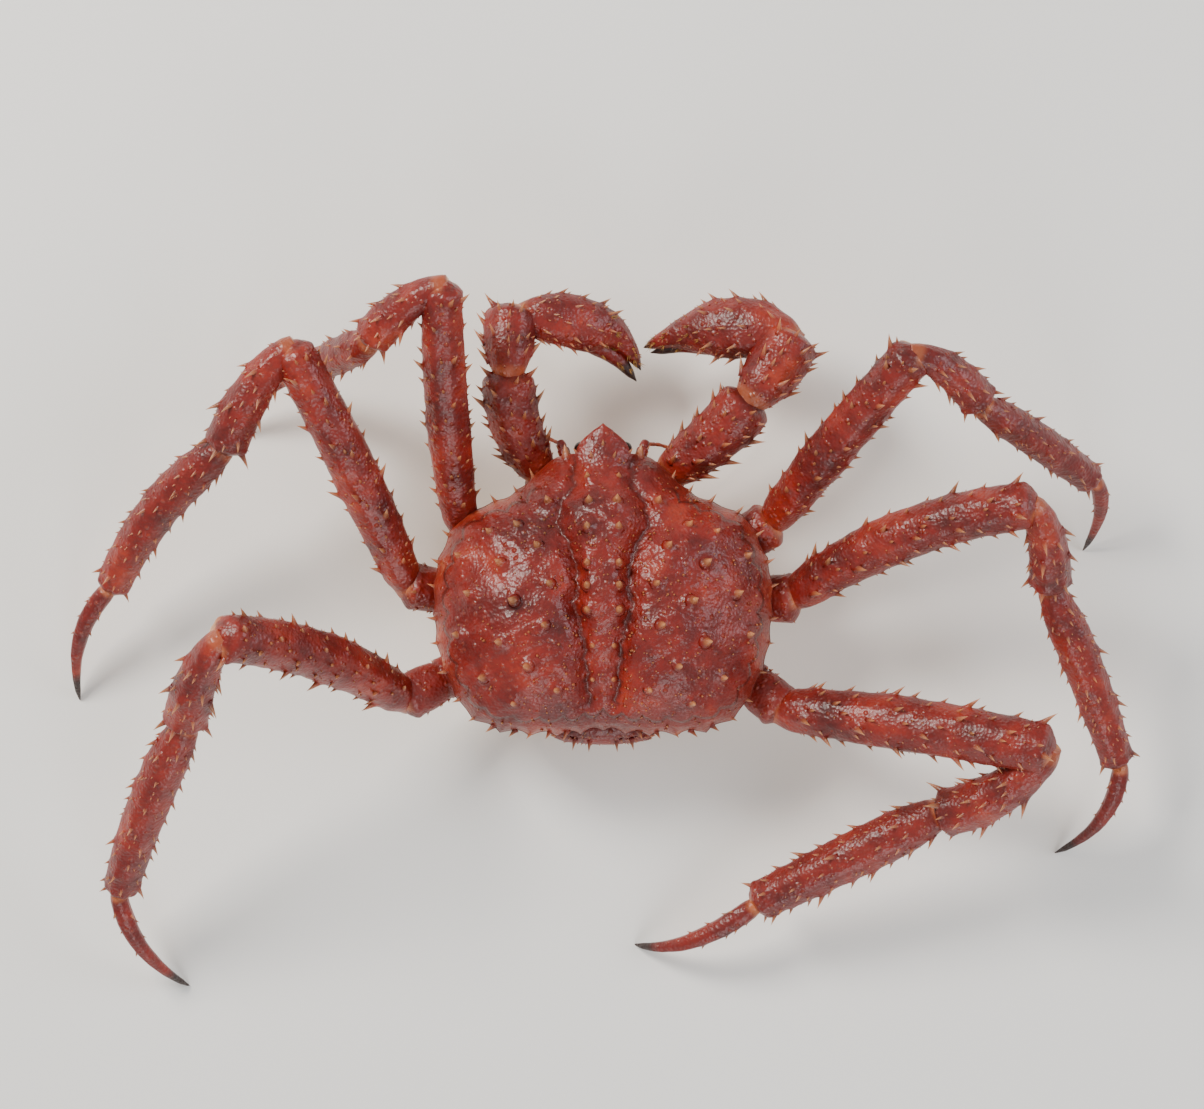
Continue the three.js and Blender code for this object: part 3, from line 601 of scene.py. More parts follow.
CLAW_PAST_STEP = 3
BACK_STEP = [3, 5, 5, 4.5, 4]
PAST_STEP = [3, 5, 2.5, 2.5, 0]
ABDOMEN_SPINES = [[17, -83.5, 56], [8, -84.5, 55]]
ABDOMEN_LINE = [
    [0, -62, 60], [0, -76, 58.5], [0, -81, 48], [0, -76, 33], [0, -58, 21.5], [0, -25, 19], [0, 8, 19.5],
    [0, 28, 21],
]
ROSTRUM_LINE = [[0, 57, 91], [0, 75, 88.5], [0, 91, 86.5]]
print("laid out", len(LEGS), "walking legs and", len(CHELIPEDS), "claws")

# %% [markdown]
# ## All limbs, in order
# The limbs are named as their nodes are and kept in one list. A thorn is only grown where it stays clear of
# every other limb, so each limb also keeps a few sample points with the radius it has there.

# %% Make every limb
SAMPLES_PER_LIMB = 25


def limb(node, kind, curve, girth=1.0, across=None):
    one = {"node": node, "kind": kind, "curve": curve, "girth": girth, "across": across,
           "profile": PROFILES[kind]}
    centre, _, _, _, width, height = sections(one, np.linspace(0, 1, SAMPLES_PER_LIMB))
    one["samples"] = centre, np.maximum(width, height) / 2
    one["length"] = np.linalg.norm(np.diff(centre, axis=0), axis=1).sum()
    return one


legs = []
for leg, (joints, bows, girths) in LEGS.items():
    lengths = []
    plan = zip(LEG_KINDS, joints, joints[1:], bows, girths, BACK_STEP, PAST_STEP)
    for kind, start, end, lift, girth, back, past in plan:
        curve = bow(start, end, lift, back * girth, past * girth)
        lengths.append(limb(f"{leg}_{kind}", kind, curve, girth))
    legs.append(lengths)

claws = []
for side, (joints, bows, girths, palm, finger) in CHELIPEDS.items():
    arm = []
    for kind, start, end, lift, girth in zip(CLAW_KINDS, joints, joints[1:], bows, girths):
        curve = bow(start, end, lift, CLAW_BACK_STEP, CLAW_PAST_STEP)
        arm.append(limb(f"{side}_claw_{kind.replace('claw_', '')}", kind, curve, girth))
    arm.append(limb(f"{side}_claw_palm", "palm", smooth(palm), girths[3]))
    claws.append((arm, limb(f"{side}_claw_finger", "movable_finger", smooth(finger), girths[4])))

faces = []
for side, sign in (("left", -1), ("right", 1)):
    parts = {kind: limb(f"{side}_{kind}", kind, smooth([(x * sign, y, z) for x, y, z in points]))
             for kind, points in FACE.items()}
    parts["flagellum"] = limb(f"{side}_flagellum", "flagellum", smooth(FLAGELLA[side]))
    faces.append((side, sign, parts))

abdomen = limb("abdomen", "abdomen", smooth(ABDOMEN_LINE), across=(1.0, 0.0, 0.0))
rostrum = limb("rostrum", "rostrum", smooth([*ROSTRUM_LINE, ROSTRUM_TIP]))
limbs = [one for leg in legs for one in leg]
limbs += [one for arm, finger in claws for one in (*arm, finger)]
limbs += [one for _, _, parts in faces for one in parts.values()]
print(len(limbs), "limbs; the longest is", round(max(one["length"] for one in limbs)), "mm")

# %% [markdown]
# ## The carapace's plan and height
# The carapace is a dome over an outline. Its height falls from the crown to the margin, and over that lie the
# swellings of the back: a stomach field in front, a small heart field behind it and a broad gill field on
# each side, parted by grooves. The same few numbers shape the solid, so the finer dome lies on it.

# %% Outline and height of the back
RIM_POINTS = 481
CROWN_BREADTH = 2.6
CROWN_FALL = 0.62
MARGIN_CALM = 6
LOWEST_TIP = 3
MARGIN_CLEARANCE = 8

half = np.array(HALF_OUTLINE, float)
knots = np.vstack([half[0], half, half[-1]])
place = np.linspace(0, len(half) - 1, RIM_POINTS)
at = np.minimum(place.astype(int), len(half) - 2)
w = (place - at)[:, None]
p0, p1, p2, p3 = (knots[at + k] for k in range(4))
v1, v2 = (p2 - p0) / 2, (p3 - p1) / 2
rim = p1 + v1 * w + (3 * (p2 - p1) - 2 * v1 - v2) * w ** 2 + (2 * (p1 - p2) + v1 + v2) * w ** 3
RIM_ANGLE, RIM_RADIUS = np.arctan2(rim[:, 0], rim[:, 1]), np.hypot(rim[:, 0], rim[:, 1])


def outline_radius(x, y):
    return np.interp(np.arctan2(np.abs(x), y), RIM_ANGLE, RIM_RADIUS)


def groove_distance(x, y):
    best = np.full(np.shape(x), 1e9)
    point = np.stack([np.abs(x), y], -1)
    for a, b in zip(np.array(GROOVE[:-1], float), np.array(GROOVE[1:], float)):
        share = np.clip(((point - a) @ (b - a)) / ((b - a) @ (b - a)), 0, 1)
        best = np.minimum(best, np.linalg.norm(point - a - share[..., None] * (b - a), axis=-1))
    return best


def back_height(x, y):
    share = np.minimum(np.hypot(x, y) / outline_radius(x, y), 1)
    height = MARGIN_Z + (CROWN_Z - MARGIN_Z) * (1 - share ** CROWN_BREADTH) ** CROWN_FALL
    fade = 1 - share ** MARGIN_CALM
    for cx, cy, across, along, rise in SWELLINGS:
        height = height + fade * rise * np.exp(-((np.abs(x) - cx) / across) ** 2 - ((y - cy) / along) ** 2)
    return height - fade * GROOVE_DEPTH * np.exp(-(groove_distance(x, y) / GROOVE_REACH) ** 2)


def is_clear(point, owner, margin):
    if point[2] < LOWEST_TIP:
        return False
    overhead = np.hypot(point[0], point[1]) < outline_radius(point[0], point[1]) + margin
    if owner and overhead and point[2] < MARGIN_Z + MARGIN_CLEARANCE:
        return False
    return all(
        one is owner or (np.linalg.norm(one["samples"][0] - point, axis=1) > one["samples"][1] + margin).all()
        for one in limbs
    )


print("crown height", round(back_height(0.0, 0.0), 1), "mm")

# %% [markdown]
# ## Thorns
# A thorn is a hollow cone of shell that flares where it grows out of its plate and leans towards the limb's
# tip. A straight cone would look stuck on, so its radius falls fast over the first tenth and evenly after
# that, and its axis bends a little. It is grown from rings, like a tube, and its root starts inside the
# plate.

# %% One thorn
ASKEW = [0.31, 0.22, 0.92]


def thorn(root, direction, tall, wide, belly=0.0, steps=9, rings=7, bend=(0, 0, 0), sink=1.5, **masks):
    direction = unit(np.asarray(direction, float))
    t = np.linspace(0, 1, rings)
    across = unit(np.cross(ASKEW, direction))
    other = np.cross(direction, across)
    axis = np.asarray(root, float) + np.outer((tall + sink) * t - sink, direction)
    axis = axis + np.outer(t ** 2 * tall, bend)
    radius = wide * (0.62 * (1 - t) ** 0.85 + 0.38 * np.exp(-t / 0.16)) * (1 - 0.985 * t ** 9)
    turn = 2 * np.pi * np.arange(steps) / steps
    ring = np.cos(turn)[:, None] * across + np.sin(turn)[:, None] * other
    points = axis[:, None] + radius[:, None, None] * ring[None]
    masks.setdefault("tip", (t * 1.05 - 0.1)[:, None])
    return grid_patch(points, belly=belly, **masks)


print("one thorn has", len(thorn((0, 0, 0), (0, 0, 1), 6, 2)[0]), "points")

# %% [markdown]
# ## Humps, ramps and lumps
# A plate of shell is uneven in a few plain ways: it rises to a hump, it runs up like a ramp, or it swells in
# soft lumps. Small functions make these, and every plate below is shaped with them.

# %% Soft shapes
NEAR_END = 0.05
FAR_END = 0.95


def ease(values, reach=4):
    padded = np.pad(values, reach, mode="edge")
    return np.convolve(padded, np.ones(2 * reach + 1) / (2 * reach + 1), "valid")


def ramp_to(values, low, high):
    s = np.clip((values - low) / (high - low), 0, 1)
    return s * s * (3 - 2 * s)


def bell(values, middle, reach):
    return np.exp(-((values - middle) / reach) ** 2)


def turn_from(turn, angle=0.0):
    """How far a turn lies from an angle, the short way round."""
    return np.angle(np.exp(1j * (turn - angle)))


def lumps(points, size):
    """Soft uneven swelling between -1 and 1, with lumps about this many millimetres apart."""
    q = np.asarray(points) * (2 * np.pi / size)
    bent = q + 0.9 * np.sin(q[..., [1, 2, 0]] * 0.71 + 1.7)
    waves = [np.sin(bent @ np.array(d)) for d in ((0.8, 0.5, 0.33), (-0.42, 0.85, 0.31), (0.3, -0.38, 0.87))]
    return sum(waves) / 3


def underneath(outward_z):
    return ramp_to(-outward_z, -0.3, 0.95)


def heading(one, share):
    """The way a limb runs at a share of its length."""
    return sections(one, share)[1][0]


def spot(one, share, turn):
    """A place on the skin of a limb, the way outward there and the way along."""
    centre, along, side, up, width, height = (v[0] for v in sections(one, share))
    outward = -math.cos(turn) * side + math.sin(turn) * up
    root = centre - math.cos(turn) * side * width / 2 + math.sin(turn) * up * height / 2
    return root, outward, along


print("a hump is", bell(0, 0, 1), "high at its middle and", round(bell(1, 0, 1), 2), "one reach away")

# %% [markdown]
# ## Rows of thorns
# Large thorns stand in rows along a limb, and small ones in rows of their own between them. Each row is given
# like the large ones in the layout. A thorn wanders a little from its place, and is left out where it would
# run into another limb or into the carapace.

# %% Where thorns stand
SMALL_ROWS = {
    "merus": [[4, 8, 0.14, 0.93, 3.4], [45, 7, 0.2, 0.9, 3.0], [93, 8, 0.16, 0.94, 3.6],
              [140, 7, 0.18, 0.9, 3.0], [178, 8, 0.13, 0.95, 3.6]],
    "carpus": [[2, 4, 0.36, 0.9, 3.2], [42, 4, 0.4, 0.92, 3.0], [95, 4, 0.4, 0.9, 3.0],
               [178, 5, 0.36, 0.92, 3.4]],
    "propodus": [[2, 8, 0.14, 0.94, 3.2], [44, 6, 0.2, 0.88, 2.4], [96, 6, 0.18, 0.9, 2.6],
                 [145, 6, 0.2, 0.86, 2.4], [182, 9, 0.12, 0.95, 3.4]],
    "dactylus": [[10, 3, 0.2, 0.5, 1.8], [170, 3, 0.14, 0.44, 1.8]],
    "claw_merus": [[-2, 6, 0.2, 0.95, 3.8], [40, 5, 0.2, 0.9, 3.2], [92, 6, 0.25, 0.93, 3.4],
                   [140, 5, 0.2, 0.9, 3.2], [182, 7, 0.22, 0.96, 3.8]],
    "claw_carpus": [[0, 5, 0.3, 0.92, 3.4], [40, 4, 0.3, 0.9, 3.2], [92, 5, 0.3, 0.92, 3.4],
                    [182, 6, 0.25, 0.94, 3.8]],
    "palm": [[0, 6, 0.1, 0.5, 3.0], [34, 5, 0.12, 0.48, 2.8], [90, 6, 0.1, 0.52, 3.0],
             [150, 6, 0.12, 0.54, 3.0], [182, 8, 0.1, 0.62, 3.2]],
}
THORN_GAP = 4.5


def thorns_in(one, rows, seed):
    """Root, direction, length, share, turn, way outward and way along of each thorn in rows of a limb."""
    places = []
    for row, (angle, count, first, last, length) in enumerate(rows):
        step = (last - first) / (count - 1) if count > 1 else 0
        for i in range(count):
            wander = draw(seed + row * 17 + i * 3) - 0.5
            share = min(first + step * (i + wander * 0.3), 0.97)
            turn = math.radians(angle + wander * 14)
            root, outward, along = spot(one, share, turn)
            tall = length * one["girth"] * (0.8 + 0.4 * draw(seed + row * 5 + i * 11))
            direction = unit(outward + along * SPINE_LEAN)
            tip, waist = root + direction * tall, root + direction * tall * 0.4
            if is_clear(tip, one, 1.5) and is_clear(waist, one, 2.8):
                places.append((root, direction, tall, share, turn, outward, along))
    return places


def all_thorns(one, seed):
    large = thorns_in(one, SPINE_ROWS.get(one["kind"], []), seed)
    small = thorns_in(one, SMALL_ROWS.get(one["kind"], []), seed + 3)
    return large + [
        place for place in small if all(np.linalg.norm(place[0] - main[0]) > THORN_GAP for main in large)
    ]


print("the first merus has", len(all_thorns(legs[0][1], 20)), "thorns")

# %% [markdown]
# ## The shell of one limb length
# The tube takes its width and height from its profile, eased so that no ring shows. On it lie the marks of a
# grown plate: keels under the rows of thorns, a swollen rim at the far end with a hollow for the next length,
# a narrower neck at the near end, small lumps, and a mound under each thorn. The neck is bare orange skin.
# The seams and the hollow get a darker red, which is painted shade.

# %% Limb shell
RING_GAP = 1.4
FEWEST_RINGS = 30
MOST_RINGS = 118
RING_CROWDING = 0.07
SEEDS_PER_LENGTH = 20
SEEDS_PER_LIMB = 100
JOINT_ROUNDING = 4.5
RIM_BACK = 7
FOLD_BACK = 3.2
THORN_STRETCH = 1.18
GRAIN_FORM = {"steps": 6, "rings": 4, "sink": 0.8}


def limb_shell(one, seed, steps=48, parent=None, onward=None, horn_from=None, point=0.0, plates=0, columns=(),
               relief=1.0, pale=1.0, lap=1.0, edge=1.0):
    """The shell of one length. Parent is the way the last length came, onward the way the next one leaves,
    point is how long the tip tapers, plates and columns are the seams across and along it, lap says how far
    one plate stands over the next, and an edge above 1 thins the section towards its sides."""
    length = one["length"]
    rings = int(np.clip(length / RING_GAP, FEWEST_RINGS, MOST_RINGS))
    t = np.linspace(0, 1, rings)
    t = t - RING_CROWDING * np.sin(2 * np.pi * t)
    centre, along, side, up, width, height = sections(one, t)
    width, height = ease(width), ease(height)
    near, far = t * length, (1 - t) * length
    if point:
        sharp = np.clip(far / point, 0, 1) ** 0.55 * 0.9 + 0.1
        width, height = width * sharp, height * sharp
    if onward is not None:
        closing = np.sqrt(1 - np.clip(1 - far / JOINT_ROUNDING, 0, 1) ** 2)
        width, height = width * closing, height * closing
    thorns = all_thorns(one, seed)
    turn = -2 * np.pi * np.arange(steps) / steps

    swell = np.zeros((rings, steps))
    for angle, *_ in SPINE_ROWS.get(one["kind"], []):
        keel = bell(turn_from(turn, math.radians(angle)), 0, 0.24)
        swell += 0.5 * keel * ramp_to(near, 6, 16)[:, None]
    if onward is not None:
        swell += bell(far, RIM_BACK, 2.2)[:, None] * (0.7 + 0.4 * np.sin(9 * turn + seed))
        swell -= 0.8 * bell(far, FOLD_BACK, 1.2)[:, None]
    seam = np.zeros((rings, steps))
    if plates:
        step_up = (t * plates) % 1
        swell += 1.1 * lap * (step_up ** 0.5 - 0.6)[:, None]
        seam += bell(np.minimum(step_up, 1 - step_up) * length / plates, 0, 0.8)[:, None]
    for column in columns:
        off = turn_from(turn, math.radians(column)) * np.abs(width)[:, None] / 2
        seam += bell(off, 0, 0.9) * ramp_to(t, 0.1, 0.2)[:, None]
    seam = np.minimum(seam, 1)
    swell -= 0.7 * seam
    for _, _, tall, share, angle, _, _ in thorns:
        down = (t - share)[:, None] * length
        off = turn_from(turn, angle) * (width.mean() / 2)
        swell += 0.17 * tall * np.exp(-(down ** 2 + off ** 2) / (2.2 + 0.8 * tall))

    cos, sin = np.cos(turn)[:, None], np.sin(turn)[:, None]
    lift = np.sign(sin) * np.abs(sin) ** edge
    outward = -cos * side[:, None] + sin * up[:, None]
    radial = -cos * side[:, None] * width[:, None, None] / 2 + lift * up[:, None] * height[:, None, None] / 2
    points = centre[:, None] + radial
    swell += relief * (0.4 * lumps(points, 16) + 0.12 * lumps(points, 6))
    swell *= np.minimum(1, width / 9)[:, None]
    points = points + outward * swell[..., None]

    belly = pale * underneath(outward[..., 2])
    skin = 0 * belly
    if parent is not None:
        inner = unit(along[0] * (parent @ along[0]) - parent)
        skin = (1 - ramp_to(near, 5, 9))[:, None] * (0.35 + 0.5 * ramp_to(outward @ inner, -0.2, 0.5))
    # Painted shade: plate seams and the fold before the next joint are darkened through the groove mask.
    groove = 0.4 * lap * seam
    if onward is not None:
        inner = unit(onward - along[-1] * (onward @ along[-1]))
        skin = np.maximum(skin, (1 - ramp_to(far, 1.5, 5.5))[:, None] * ramp_to(outward @ inner, -0.35, 0.35))
        groove = np.maximum(groove, 0.5 * bell(far, FOLD_BACK, 1.0)[:, None] * (1 - skin))
    horn = ramp_to(t, horn_from, horn_from + 0.12)[:, None] if horn_from else 0.0

    patches = [grid_patch(points, belly=belly, skin=skin, groove=groove, horn=horn)]
    for root, direction, tall, _, _, out, lean in thorns:
        patches.append(thorn(root, direction, tall * THORN_STRETCH, 1.2 + tall * 0.27, underneath(out[2]),
                             bend=lean * 0.22))
    return patches


def granules(one, seed, per_area=0.016, low=-0.7, turns=(-40, 260), check=is_clear):
    """Small pointed grains between the thorns of a limb's upper side and flanks."""
    patches = []
    for k in range(int(one["length"] * 40 * one["girth"] * per_area)):
        share = 0.1 + 0.84 * draw(seed * 1.7 + k * 0.618)
        turn = math.radians(turns[0] + turns[1] * draw(seed * 0.9 + k * 1.37 + 9))
        root, outward, along = spot(one, share, turn)
        tall = (0.9 + 1.3 * draw(seed + k * 3.3) ** 2) * (1 if outward[2] > -0.2 else 0.75)
        if outward[2] > low and check(root + outward * tall, one, 0.5):
            patches.append(thorn(root, outward + along * 0.5, tall, 0.75 + 0.3 * tall,
                                 underneath(outward[2]), **GRAIN_FORM))
    return patches


def chain(lengths, seed, per_area, **tip):
    """The shells of a leg or an arm from the body outward; the last one takes the settings of a tip."""
    shells = []
    for i, one in enumerate(lengths):
        came = heading(lengths[i - 1], FAR_END) if i else None
        if one is lengths[-1]:
            patches = limb_shell(one, seed, parent=came, **tip)
        else:
            onward = heading(lengths[i + 1], NEAR_END)
            patches = limb_shell(one, seed, parent=came, onward=onward, plates=0 if i else 2)
        if one["kind"] != "dactylus":
            patches += granules(one, seed + 5, per_area)
        shells.append(patches)
        seed += SEEDS_PER_LENGTH
    return shells


def dress(node, patches):
    piece("shell_" + node, patches, shell, node)


print("a shell has a ring every", RING_GAP, "mm")

# %% [markdown]
# ## Walking legs
# Each leg has five visible lengths: ischium, merus, carpus, propodus and dactylus, named as in a book on
# crabs. All are tubes with thorns, and the last is a smoother hooked claw whose tip is dark horn.

# %% Dress the walking legs
for number, leg in enumerate(legs):
    shells = chain(leg, number * SEEDS_PER_LIMB, 0.016, horn_from=0.74, point=7.0, relief=0.5)
    for one, patches in zip(leg, shells):
        dress(one["node"], patches)
print("dressed", len(made), "leg lengths")

# %% [markdown]
# ## Claws
# A claw's palm ends in a fixed finger, and a second finger closes on it from the inner side. The crab crushes
# shells with blunt pale teeth along both fingers and grips with their dark tips, and tufts of golden bristles
# stand round the tips. The teeth are short thorns with almost no point, set in a row on the facing sides.

# %% Dress the claws
FIRST_CLAW_SEED = 700
TUFTS_ON_PALM = 12
TUFTS_ON_FINGER = 7
tufts = []


def teeth(one, inner, first, last, size, count=7):
    patches = []
    for share in np.linspace(first, last, count):
        root, outward, _ = spot(one, share, inner)
        grow = size * (1.15 - 0.6 * (share - first) / (last - first))
        patches.append(thorn(root - outward * 0.5, outward, grow * 0.6, grow, 1.0, steps=8, rings=5, tip=0.9))
    return patches


def tuft(one, share, turn, seed, count=8, length=3.4):
    root, outward, along = spot(one, share, turn)
    for k in range(count):
        spread = np.array([draw(seed + k), draw(seed + k * 2.3), draw(seed + k * 3.7)]) - 0.5
        tall = length * (0.7 + 0.5 * draw(k + seed * 3))
        tufts.append(thorn(root + spread * 1.3, outward + along * 0.8 + spread * 0.9, tall, 0.2,
                           steps=4, rings=3, sink=0.5))


for number, (arm, finger) in enumerate(claws):
    facing = number * math.pi
    shells = chain(arm, FIRST_CLAW_SEED + number * SEEDS_PER_LIMB, 0.02, horn_from=0.87, point=5.0)
    shells[-1] += teeth(arm[-1], facing, 0.58, 0.9, 2.4)
    shells.append(limb_shell(finger, 0, horn_from=0.66, point=5.0, relief=0.5))
    shells[-1] += teeth(finger, math.pi - facing, 0.3, 0.85, 2.0)
    for one, patches in zip([*arm, finger], shells):
        dress(one["node"], patches)
    for k in range(TUFTS_ON_PALM):
        turn = math.radians(40 + 100 * draw(k * 2 + 3))
        tuft(arm[-1], 0.5 + 0.45 * draw(k + number), turn, 40 * k + number)
    for k in range(TUFTS_ON_FINGER):
        turn = math.radians(50 + 80 * draw(k * 2 + 8))
        tuft(finger, 0.3 + 0.55 * draw(k + 5 + number), turn, 31 * k + 7 + number)
print("claws dressed,", len(tufts), "bristles so far")

# %% [markdown]
# ## The carapace
# The dome is a round grid: spokes from the centre and rings out to the margin. A square grid would cut the
# margin into steps, and the round one follows it. The height comes from the layout, then finer marks are laid
# on: the thin line cut into each groove, a scalloped shelf that runs inside the margin as the drawing shows
# and lies deeper at the rear, soft lumps, and a mound under each thorn.

# %% Carapace thorns
MARGIN_ROWS = [
    (MARGIN_SPINES_PER_SIDE, 0.5, 2.15, 6.5, 200),
    (REAR_SPINES_PER_SIDE, 2.3, 2.86, 5.5, 260),
]
MARGIN_THORN_INSET = 2.2
back_thorns = []
for i, (aside, y, length) in enumerate(BACK_SPINES):
    for x, seed in ((aside, i), (-aside, i + 50)):
        root = np.array([x, y, back_height(x, y) - 0.4])
        lean = np.array([x * 0.006, y * 0.004 + 0.12, 1]) + 0.12 * unit(np.array([x, y, 0.0]))
        back_thorns.append((root, unit(lean), length * (0.9 + 0.2 * draw(seed))))

margin_thorns = []
for count, first, last, length, seed in MARGIN_ROWS:
    for i in range(count):
        angle = first + (last - first) * (i + 0.2 * draw(seed + i)) / (count - 1)
        for side in (1, -1):
            cx, cy = side * math.sin(angle), math.cos(angle)
            reach = outline_radius(cx, cy) - MARGIN_THORN_INSET
            root = np.array([cx * reach, cy * reach, MARGIN_Z + 2])
            direction = unit(np.array([cx, cy + 0.15, 0.35]))
            tall = length * (0.85 + 0.3 * draw(seed + i * 3 + side))
            if is_clear(root + direction * tall, None, 1):
                margin_thorns.append((root, direction, tall))
print(len(back_thorns), "thorns on the back,", len(margin_thorns), "round the margin")

# %% Carapace dome
SPOKES = 608
DOME_RINGS = 66
MARGIN_RINGS = 30
SCALLOPS_PER_SIDE = 19
SHELF_INSIDE = 6.2
LEDGE_DEPTH = 2.1

turn = 2 * np.pi * np.arange(SPOKES) / SPOKES
cx, cy = np.sin(turn), np.cos(turn)
reach = outline_radius(cx, cy)
to_margin = np.linspace(0, 1, MARGIN_RINGS + 1)[1:]
shares = np.concatenate([np.linspace(0.012, 0.84, DOME_RINGS), 1 - 0.16 * (1 - to_margin) ** 1.25])
x, y = shares[:, None] * (reach * cx), shares[:, None] * (reach * cy)
z = back_height(x, y)
beak = sections(rostrum, np.linspace(0, 1, 80))
beak_centre, beak_half, beak_rise = (
    np.interp(y, beak[0][:, 1], values) for values in (beak[0][:, 2], beak[4] / 2, beak[5] / 2))
beak_share = np.abs(x) / np.maximum(beak_half, 1)
roof = beak_centre + beak_rise * np.clip(1 - beak_share ** 2, 0, 1) ** 0.8 - 1.0
on_beak = ramp_to(y, 52, 60) * (1 - ramp_to(beak_share, 0.95, 1.25))
z = z + on_beak * 3.0 * np.logaddexp(0, (roof - z) / 3.0)

inside = (1 - shares)[:, None] * reach
scallop = np.abs(np.sin(SCALLOPS_PER_SIDE * turn))
to_rear = ramp_to(np.abs(turn_from(turn)), 2.2, 2.5)
from_front = ramp_to(np.abs(turn_from(turn)), 0.4, 0.6)
shelf = SHELF_INSIDE + 3.5 * to_rear + 3.6 * (1 - scallop)
z = z - LEDGE_DEPTH * ((1 - ramp_to(inside, shelf - 0.9, shelf + 0.9)) * from_front)
seam = bell(inside, shelf, 0.9) * from_front
calm = 1 - ramp_to(shares, 0.93, 1.0)[:, None]
wave = 0.9 * np.sin(y * 0.41) + 0.6 * np.sin(y * 0.97 + np.sign(x)) + 0.35 * np.sin(y * 1.9)
wavy = x + np.sign(x) * wave
line = bell(groove_distance(wavy, y), 0, 1.6) * calm
z = z - line
flat = np.stack([x, y, 0 * x], -1)
z = z + calm * (0.9 * lumps(flat, 30) + 0.7 * lumps(flat, 13) + 0.25 * lumps(flat, 5))
for root, direction, tall in back_thorns:
    z = z + calm * 0.36 * tall * np.exp(-((x - root[0]) ** 2 + (y - root[1]) ** 2) / 15)
notch = (0.014 + 0.022 * to_rear) * scallop * from_front
cut = 1 - notch * ramp_to(shares, 0.92, 1.0)[:, None]
top = np.stack([x * cut, y * cut, z], -1)
print("the shelf runs", round(shelf.min(), 1), "to", round(shelf.max(), 1), "mm inside the margin")

# %% Skirt and orbits
FLANK = [
    (1.002, 70.6), (1.003, 69.2), (1.002, 67.6), (1.0, 66), (0.997, 64), (0.992, 62), (0.987, 60), (0.98, 58),
    (0.973, 56), (0.964, 54), (0.953, 52.5), (0.94, 51), (0.925, 49.8), (0.91, 49), (0.87, 48.2), (0.7, 48.2),
    (0.4, 48.2), (0.1, 48.2),
]
skirt = []
for share, height in FLANK:
    edge = share * reach * (1 - notch * ramp_to(height, 52, 66))
    skirt.append(np.stack([edge * cx, edge * cy, height + 0 * turn], -1))
dome = np.vstack([top, np.array(skirt)])
socket = bell(np.abs(dome[..., 0]), 12, 8) * bell(dome[..., 2], 68, 7)
dome[..., 1] -= 7.5 * socket * ramp_to(dome[..., 1], 60, 74)
orbit = np.hypot(np.abs(dome[..., 0]) - EYE_CENTRE[0], dome[..., 2] - EYE_CENTRE[2])
dome[..., 1] += 1.4 * bell(orbit, 9, 2) * ramp_to(dome[..., 1], 60, 74)
belly = np.zeros(dome.shape[:2])
belly[:len(shares)] = 0.3 * ramp_to(shares, 0.85, 1.0)[:, None]
belly[len(shares):] = np.minimum(np.linspace(0.1, 1.5, len(FLANK)), 1)[:, None]
belly *= 1 - 0.5 * ramp_to(dome[..., 1], 60, 80)
# Painted shade: the cut line of each groove and the shelf's seam get darker red through the groove mask.
line_shade = np.zeros(dome.shape[:2])
line_shade[:len(shares)] = np.maximum(0.75 * line, 0.85 * seam)
patches = [grid_patch(dome, belly=belly, groove=line_shade)]
print("dome of", dome.shape[0], "rings by", SPOKES, "spokes")

# %% Thorns, grains and beak of the carapace
BACK_GRAINS = 620
BEAK_THORNS = [
    ((21, 83, 77), (0.2, 1, 0.2), 9, 6.0, 0.1, 14, 9),
    ((6, 83, 91), (0.3, 0.8, 0.7), 6, 2.4, 0.0, 12, 9),
    ((15.5, 86.5, 87), (0.8, 1, 0.15), 3.4, 1.9, 0.0, 10, 8),
    ((9.5, 93.5, 87), (0.7, 1, 0.15), 2.8, 1.6, 0.0, 10, 8),
]

for root, direction, tall in back_thorns:
    patches.append(thorn(root + [0, 0, 0.25 * tall], direction, tall * 0.8, 1.9 + tall * 0.27, steps=12,
                         rings=9, bend=(0, 0.1, 0), tip=(np.linspace(0, 1, 9) * 1.25 - 0.1)[:, None]))
for root, direction, tall in margin_thorns:
    patches.append(thorn(root - [0, 0, 1.5], direction, tall, 1.2 + tall * 0.2, 0.25, steps=10, rings=8,
                         bend=(0, 0.12, 0.05)))
for k in range(BACK_GRAINS):
    angle = 2 * math.pi * draw(k * 1.618 + 3)
    share = math.sqrt(0.02 + 0.9 * draw(k * 2.414 + 11))
    gx, gy = math.sin(angle), math.cos(angle)
    reach = outline_radius(gx, gy) * share
    gx, gy = gx * reach, gy * reach
    if (min(math.hypot(gx - root[0], gy - root[1]) for root, _, _ in back_thorns) > 4
            and groove_distance(gx, gy) > 2.5):
        tall = 1.0 + 2.2 * draw(k * 3.1) ** 2
        ring = min(int(np.searchsorted(shares, share)), len(shares) - 1)
        spoke = int(round(angle / (2 * math.pi) * SPOKES)) % SPOKES
        patches.append(thorn((gx, gy, top[ring, spoke, 2] - 0.2), (gx * 0.004, gy * 0.004, 1), tall,
                             0.8 + 0.3 * tall, **GRAIN_FORM))

patches += limb_shell(rostrum, 0, steps=72, point=4.0, relief=0.5, pale=0.15, edge=1.6)
patches.append(thorn((0, 90, 90), (0, 0.9, 0.8), 5.5, 2.6, steps=12, rings=9))
for flip in ((1, 1, 1), (-1, 1, 1)):
    for root, direction, *form in BEAK_THORNS:
        patches.append(thorn(np.multiply(root, flip), np.multiply(direction, flip), *form))
dress("carapace", patches)
print("carapace patches:", len(patches))

# %% [markdown]
# ## Underside
# Below lies the breastplate, made of plates that part where the legs are rooted, and the abdomen, folded
# forward under it in a narrow triangle because this crab is a male. Both are cream below, and the abdomen
# turns red where it comes up behind. It is a limb like the others, only flat and wide, and steps show where
# one plate laps over the next. Its first plate shows behind the carapace from above, with two pairs of small
# thorns. The breastplate bulges backward to meet it.

